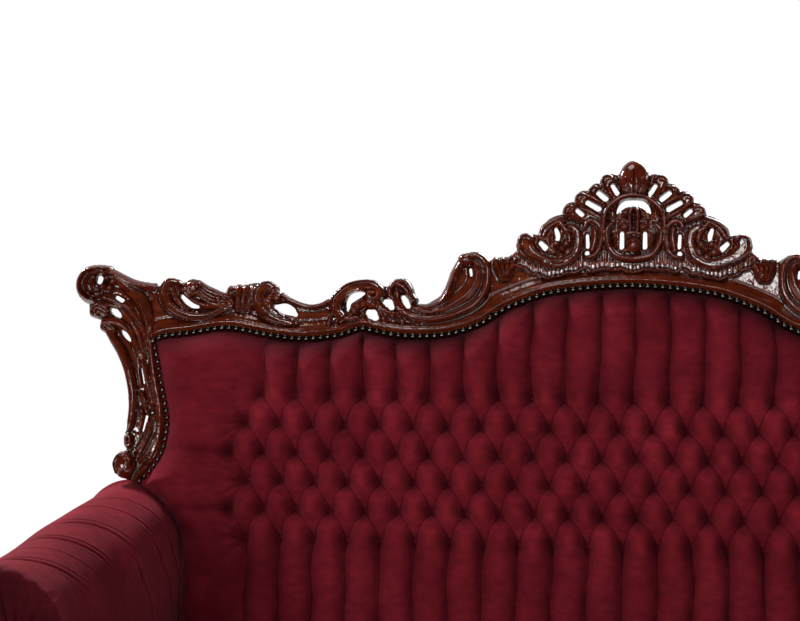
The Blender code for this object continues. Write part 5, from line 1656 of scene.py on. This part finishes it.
OUTER_BACK_W = -0.0796
PANEL_DEEP = 0.0078
PANEL_SWELL = 0.0045
PANEL_LAP = 20
PANEL_REACH = 884
STILE_TOP_V = 345
PANEL_LOW_V = -107.3
PANEL_GRID = 0.010
PANEL_ROUND = 0.030
PANEL_CORNER = (849.7, 552)
PANEL_WELT_RADIUS = 0.0034
PANEL_WELT_RISE = 0.0006
PANEL_WELT_STEP = 0.006
BOXING_INSET = 0.004
BOXING_THICK = 0.0025
BOXING_FRONT = -0.0350
BOXING_REAR = -0.0725
BOXING_STEP = 0.008
BOXING_SHARP = math.radians(50.0)
ARM_PANEL_X = 0.8683
ARM_PANEL_LOW = 325.5
ARM_PANEL_TOP = 527.0
ARM_PANEL_FRONT = -388.0
ARM_PANEL_REAR = (232.0, 273.0)


def on_outer_back(x, v, w):
    """World points of places on the outside of the back, seen from behind, out to the back by w."""
    return on_back(-x, v, OUTER_BACK_W - w)


def cover_panel(name, outline, nodes, to_world, mirror=1.0):
    """A stretched velvet cover that swells by a quarter round from its edge to a low crown, with a welt."""
    outline = np.asarray(outline) * MM
    low, high = outline.min(axis=0), outline.max(axis=0)
    count = np.ceil((high - low) / PANEL_GRID).astype(int) + 3
    x, v = np.meshgrid(*[start + (np.arange(cells) - 1) * PANEL_GRID for start, cells in zip(low, count)],
                       indexing="ij")
    depth = inside_depth(x, v, outline)
    crown = np.clip(depth / PANEL_ROUND, 0, 1)
    ripple = 0.0005 * np.sin(31 * x + 9 * v) * np.sin(27 * v - 6 * x)
    height = PANEL_SWELL * np.sqrt(1 - (1 - crown) ** 2) + ripple * crown
    panel = relief_mesh(name, x, v, depth, height, {}, np.full(x.shape, -PANEL_DEEP), mirror, (), to_world)
    place(panel, "sofa", VELVET, nodes)
    edge = evenly(np.vstack([outline, outline[:1]]), PANEL_WELT_STEP)[:-1]
    path, above = [to_world(mirror * edge[:, 0], edge[:, 1], np.full(len(edge), PANEL_WELT_RISE + off))
                   for off in (0.0, 1.0)]
    welt = cord_round(name + "_welt", path, PANEL_WELT_RADIUS, above - path)
    place(welt, "sofa", VELVET)


def boxing(edge):
    """A velvet band just inside the outside cover's edge; it closes the space behind the carved frame."""
    path = evenly(np.asarray(edge) * MM, BOXING_STEP)
    way = np.gradient(path, axis=0)
    inward = np.stack([way[:, 1], -way[:, 0]], -1) / np.linalg.norm(way, axis=1)[:, None]
    offset = BOXING_INSET + BOXING_THICK * np.array([0, 0, 1, 1])
    depth = np.array([BOXING_REAR, BOXING_FRONT, BOXING_FRONT, BOXING_REAR])
    corner = path[:, None] + offset[None, :, None] * inward[:, None]
    rings = on_back(corner[..., 0], corner[..., 1], depth + 0 * corner[..., 0])
    band = swept("back_boxing", rings)
    band.data.set_sharp_from_angle(angle=BOXING_SHARP)
    place(band, "sofa", VELVET)


def outside_covers():
    """The outside of the back and of the arms."""
    top = smooth_rows(NAIL_TOP[:-1]) + [0, PANEL_LAP]
    side = [(x + PANEL_LAP, v) for x, v in NAIL_SIDE[1:] if v > STILE_TOP_V + PANEL_LAP]
    side.append((side[-1][0], STILE_TOP_V + PANEL_LAP))
    upper = np.vstack([top, [PANEL_CORNER], side])
    edge = np.vstack([upper, [(side[-1][0], STILE_TOP_V + 1)]])
    boxing(np.vstack([edge[:0:-1] * [-1, 1], edge]))
    half = np.vstack([upper, [(PANEL_REACH, STILE_TOP_V), (PANEL_REACH, PANEL_LOW_V)]])
    outline = np.vstack([half, half[:0:-1] * [-1, 1]])[::-1]
    cover_panel("outside_back", outline, ["back_outer_panel"], on_outer_back)
    low_rear, high_rear = ARM_PANEL_REAR
    outline = [(ARM_PANEL_FRONT, ARM_PANEL_LOW), (low_rear, ARM_PANEL_LOW), (high_rear, ARM_PANEL_TOP),
               (ARM_PANEL_FRONT, ARM_PANEL_TOP)]
    for side in (-1, 1):
        def on_arm(y, z, w, side=side):
            """World points on the arm's outside."""
            return np.stack([side * (ARM_PANEL_X + w), side * y, z], -1)
        cover_panel("outside_arm_" + hand(side), outline, ["arm_outer_panel_" + hand(side)], on_arm, side)


outside_covers()


# Finishes of the pieces that keep their solid shape

def beech(name, layered=False):
    """Pale beech: long soft grain with short darker flecks; plywood shows the same in thinner bands."""
    mat, tree, shader = node_material(name)
    grain = object_noise(tree, 9.0, (3.0, 30.0, 30.0) if layered else (1.0, 9.0, 9.0), 5.0, 0.6)
    colour = ramp(tree, grain, [(0.30, (0.33, 0.190, 0.092)), (0.55, (0.46, 0.285, 0.150)),
                                (0.78, (0.55, 0.365, 0.205))])
    flecks = object_noise(tree, 160.0, (0.25, 1.0, 1.0), 2.0)
    dark = ramp(tree, flecks, [(0.32, (0.72, 0.68, 0.62)), (0.42, (1.0, 1.0, 1.0))])
    feed_all(tree, shader, {"Base Color": multiplied(tree, colour, dark), "Roughness": 0.62})
    bumped(tree, shader, (flecks, 0.25, 0.0008))
    return mat


def blued_steel(name):
    """Dark spring wire with a thin oily film in patches."""
    return metal(name, 60.0, [(0.35, (0.10, 0.105, 0.115)), (0.70, (0.26, 0.265, 0.275))], 0.38)


def woven_lining(name):
    """Black cambric: two fine crossing sets of threads."""
    mat, tree, shader = node_material(name)
    threads = []
    for turned in (0.0, math.pi / 2):
        wave = tree.nodes.new("ShaderNodeTexWave")
        feed_all(tree, wave,
                 {"Vector": mapped(tree, Rotation=(0.0, 0.0, turned)), "Scale": 260.0, "Distortion": 0.6})
        threads.append(wave.outputs["Fac"])
    weave = math_node(tree, "MULTIPLY", *threads)
    colour = ramp(tree, weave, [(0.10, (0.012, 0.012, 0.013)), (0.80, (0.045, 0.044, 0.046))])
    feed_all(tree, shader, {"Base Color": colour, "Roughness": 0.85})
    return mat


def finish_cad_nodes():
    """Each solid that still shows gets the finish of its kind, by the start of its name."""
    timber, ply = beech("beech"), beech("beech_plywood", True)
    steel, lining = blued_steel("blued_steel"), woven_lining("woven_lining")
    finishes = {"seat_brace": timber, "corner_block": timber, "arm_frame": timber, "back_bottom": timber,
                "back_tie": timber, "back_upright": timber, "back_board": ply,
                "seat_spring": steel, "dust_cover": lining}
    for name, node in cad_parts.items():
        finish = next((mat for start, mat in finishes.items() if name.startswith(start)), MAHOGANY)
        node.data.materials.clear()
        node.data.materials.append(finish)


finish_cad_nodes()


# Floor, light and camera

FLOOR_REACH = 40.0
FLOOR_COLOUR = (0.90, 0.90, 0.90)
FLOOR_FADE = (1.5, 2.6)
SOFT_LIGHT = (1.0, 0.98, 0.96)
SOFT_STRENGTH = 0.20
WHITE = (1.0, 1.0, 1.0)
# What reflections see of the white: where it starts and is full, towards the back, and how strong it is
BEHIND_RANGE = (-0.1, 0.5)
BEHIND_STRENGTH = (0.02, 0.55)
CAMERA_SPOT = (0.0, -2.70, 1.27)
CAMERA_DOWN = math.radians(4.5)
CAMERA_LEFT = math.radians(7.6)
CAMERA_LENS = 78.75
CAMERA_SENSOR = 36.0
# Name, place, aim, size and power
LAMPS = (("key", (-2.0, -3.7, 1.10), (0.0, 0.2, 0.7), 1.0, 100.0),
         ("fill", (0.8, -3.9, 0.9), (0.0, 0.2, 0.6), 1.6, 32.0),
         ("glint", (0.3, -2.9, 2.3), (0.0, 0.2, 0.9), 0.5, 16.0),
         ("top", (-0.5, -0.30, 3.1), (0.0, 0.2, 0.8), 0.8, 12.0),
         ("side", (-2.0, 0.9, 2.3), (-0.8, 0.0, 0.8), 0.5, 80.0),
         ("right", (2.9, 0.9, 1.7), (0.8, 0.0, 0.6), 1.2, 36.0),
         ("rear", (0.8, 3.2, 2.6), (0.0, 0.2, 0.6), 1.6, 60.0))


def smooth_step(tree, value, span, levels=(0.0, 1.0)):
    """A soft rise between two levels while a value passes through a span."""
    node = tree.nodes.new("ShaderNodeMapRange")
    node.interpolation_type = "SMOOTHSTEP"
    feed_all(tree, node, {"Value": value, "From Min": span[0], "From Max": span[1], "To Min": levels[0],
                          "To Max": levels[1]})
    return node.outputs["Result"]


def mixed_shader(tree, factor, first, second):
    """One shader that goes over to another by a factor."""
    node = tree.nodes.new("ShaderNodeMixShader")
    for socket, value in zip(node.inputs, (factor, first, second)):
        tree.links.new(value, socket)
    return node.outputs["Shader"]


def glow(tree, kind, values):
    """The light of an emission or background node."""
    node = tree.nodes.new(kind)
    feed_all(tree, node, values)
    return node.outputs[0]


def studio_floor():
    """A pale floor that keeps the sofa's shadow near it and fades to the white backdrop further out."""
    mat, tree, shader = node_material("studio_floor")
    feed_all(tree, shader, {"Base Color": FLOOR_COLOUR, "Roughness": 0.7})
    coords = tree.nodes.new("ShaderNodeTexCoord")
    distance = tree.nodes.new("ShaderNodeVectorMath")
    distance.operation = "LENGTH"
    tree.links.new(coords.outputs["Object"], distance.inputs[0])
    seen = tree.nodes.new("ShaderNodeLightPath").outputs["Is Camera Ray"]
    share = math_node(tree, "MULTIPLY", smooth_step(tree, distance.outputs["Value"], FLOOR_FADE), seen)
    white = glow(tree, "ShaderNodeEmission", {"Strength": 1.0})
    surface = mixed_shader(tree, share, shader.outputs["BSDF"], white)
    tree.links.new(surface, tree.nodes["Material Output"].inputs["Surface"])
    corners_xy = FLOOR_REACH * np.array([(-1, -1, 0), (1, -1, 0), (1, 1, 0), (-1, 1, 0)])
    floor = mesh_object("studio_floor", corners_xy, [[0, 1, 2, 3]], False)
    floor.data.materials.append(mat)


def studio_world():
    """Dim even light on the object; the camera sees white, and reflections see it mainly behind the sofa."""
    world = bpy.data.worlds.new("studio")
    bpy.context.scene.world = world
    world.use_nodes = True
    tree = world.node_tree
    tree.nodes.clear()
    path = tree.nodes.new("ShaderNodeLightPath").outputs
    seen = path["Is Camera Ray"]
    for kind in ("Is Glossy Ray", "Is Transmission Ray"):
        seen = math_node(tree, "MAXIMUM", seen, path[kind])
    coords = tree.nodes.new("ShaderNodeTexCoord")
    axes = tree.nodes.new("ShaderNodeSeparateXYZ")
    tree.links.new(coords.outputs["Generated"], axes.inputs["Vector"])
    behind = smooth_step(tree, axes.outputs["Y"], BEHIND_RANGE, BEHIND_STRENGTH)
    level = math_node(tree, "MAXIMUM", behind, path["Is Camera Ray"])
    white = glow(tree, "ShaderNodeBackground", {"Color": WHITE, "Strength": level})
    soft = glow(tree, "ShaderNodeBackground", {"Color": SOFT_LIGHT, "Strength": SOFT_STRENGTH})
    out = tree.nodes.new("ShaderNodeOutputWorld")
    tree.links.new(mixed_shader(tree, seen, soft, white), out.inputs["Surface"])


def studio():
    """The floor, the backdrop, the camera, and the lamps, the strongest of them in front on the left."""
    scene = bpy.context.scene
    scene.view_settings.view_transform = "Standard"
    studio_floor()
    studio_world()
    for name, spot, aim, size, power in LAMPS:
        light = bpy.data.lights.new(name, "AREA")
        light.shape = "SQUARE"
        light.size = size
        light.energy = power
        lamp = bpy.data.objects.new(name, light)
        lamp.location = spot
        way = np.array(aim) - np.array(spot)
        flat = math.hypot(way[0], way[1])
        lamp.rotation_euler = (math.atan2(flat, -way[2]), 0.0, math.atan2(-way[0], way[1]))
        scene.collection.objects.link(lamp)
    camera = bpy.data.cameras.new("camera")
    camera.lens = CAMERA_LENS
    camera.sensor_width = CAMERA_SENSOR
    viewer = bpy.data.objects.new("camera", camera)
    viewer.location = CAMERA_SPOT
    viewer.rotation_euler = (math.pi / 2 - CAMERA_DOWN, 0.0, CAMERA_LEFT)
    scene.collection.objects.link(viewer)
    scene.camera = viewer


studio()
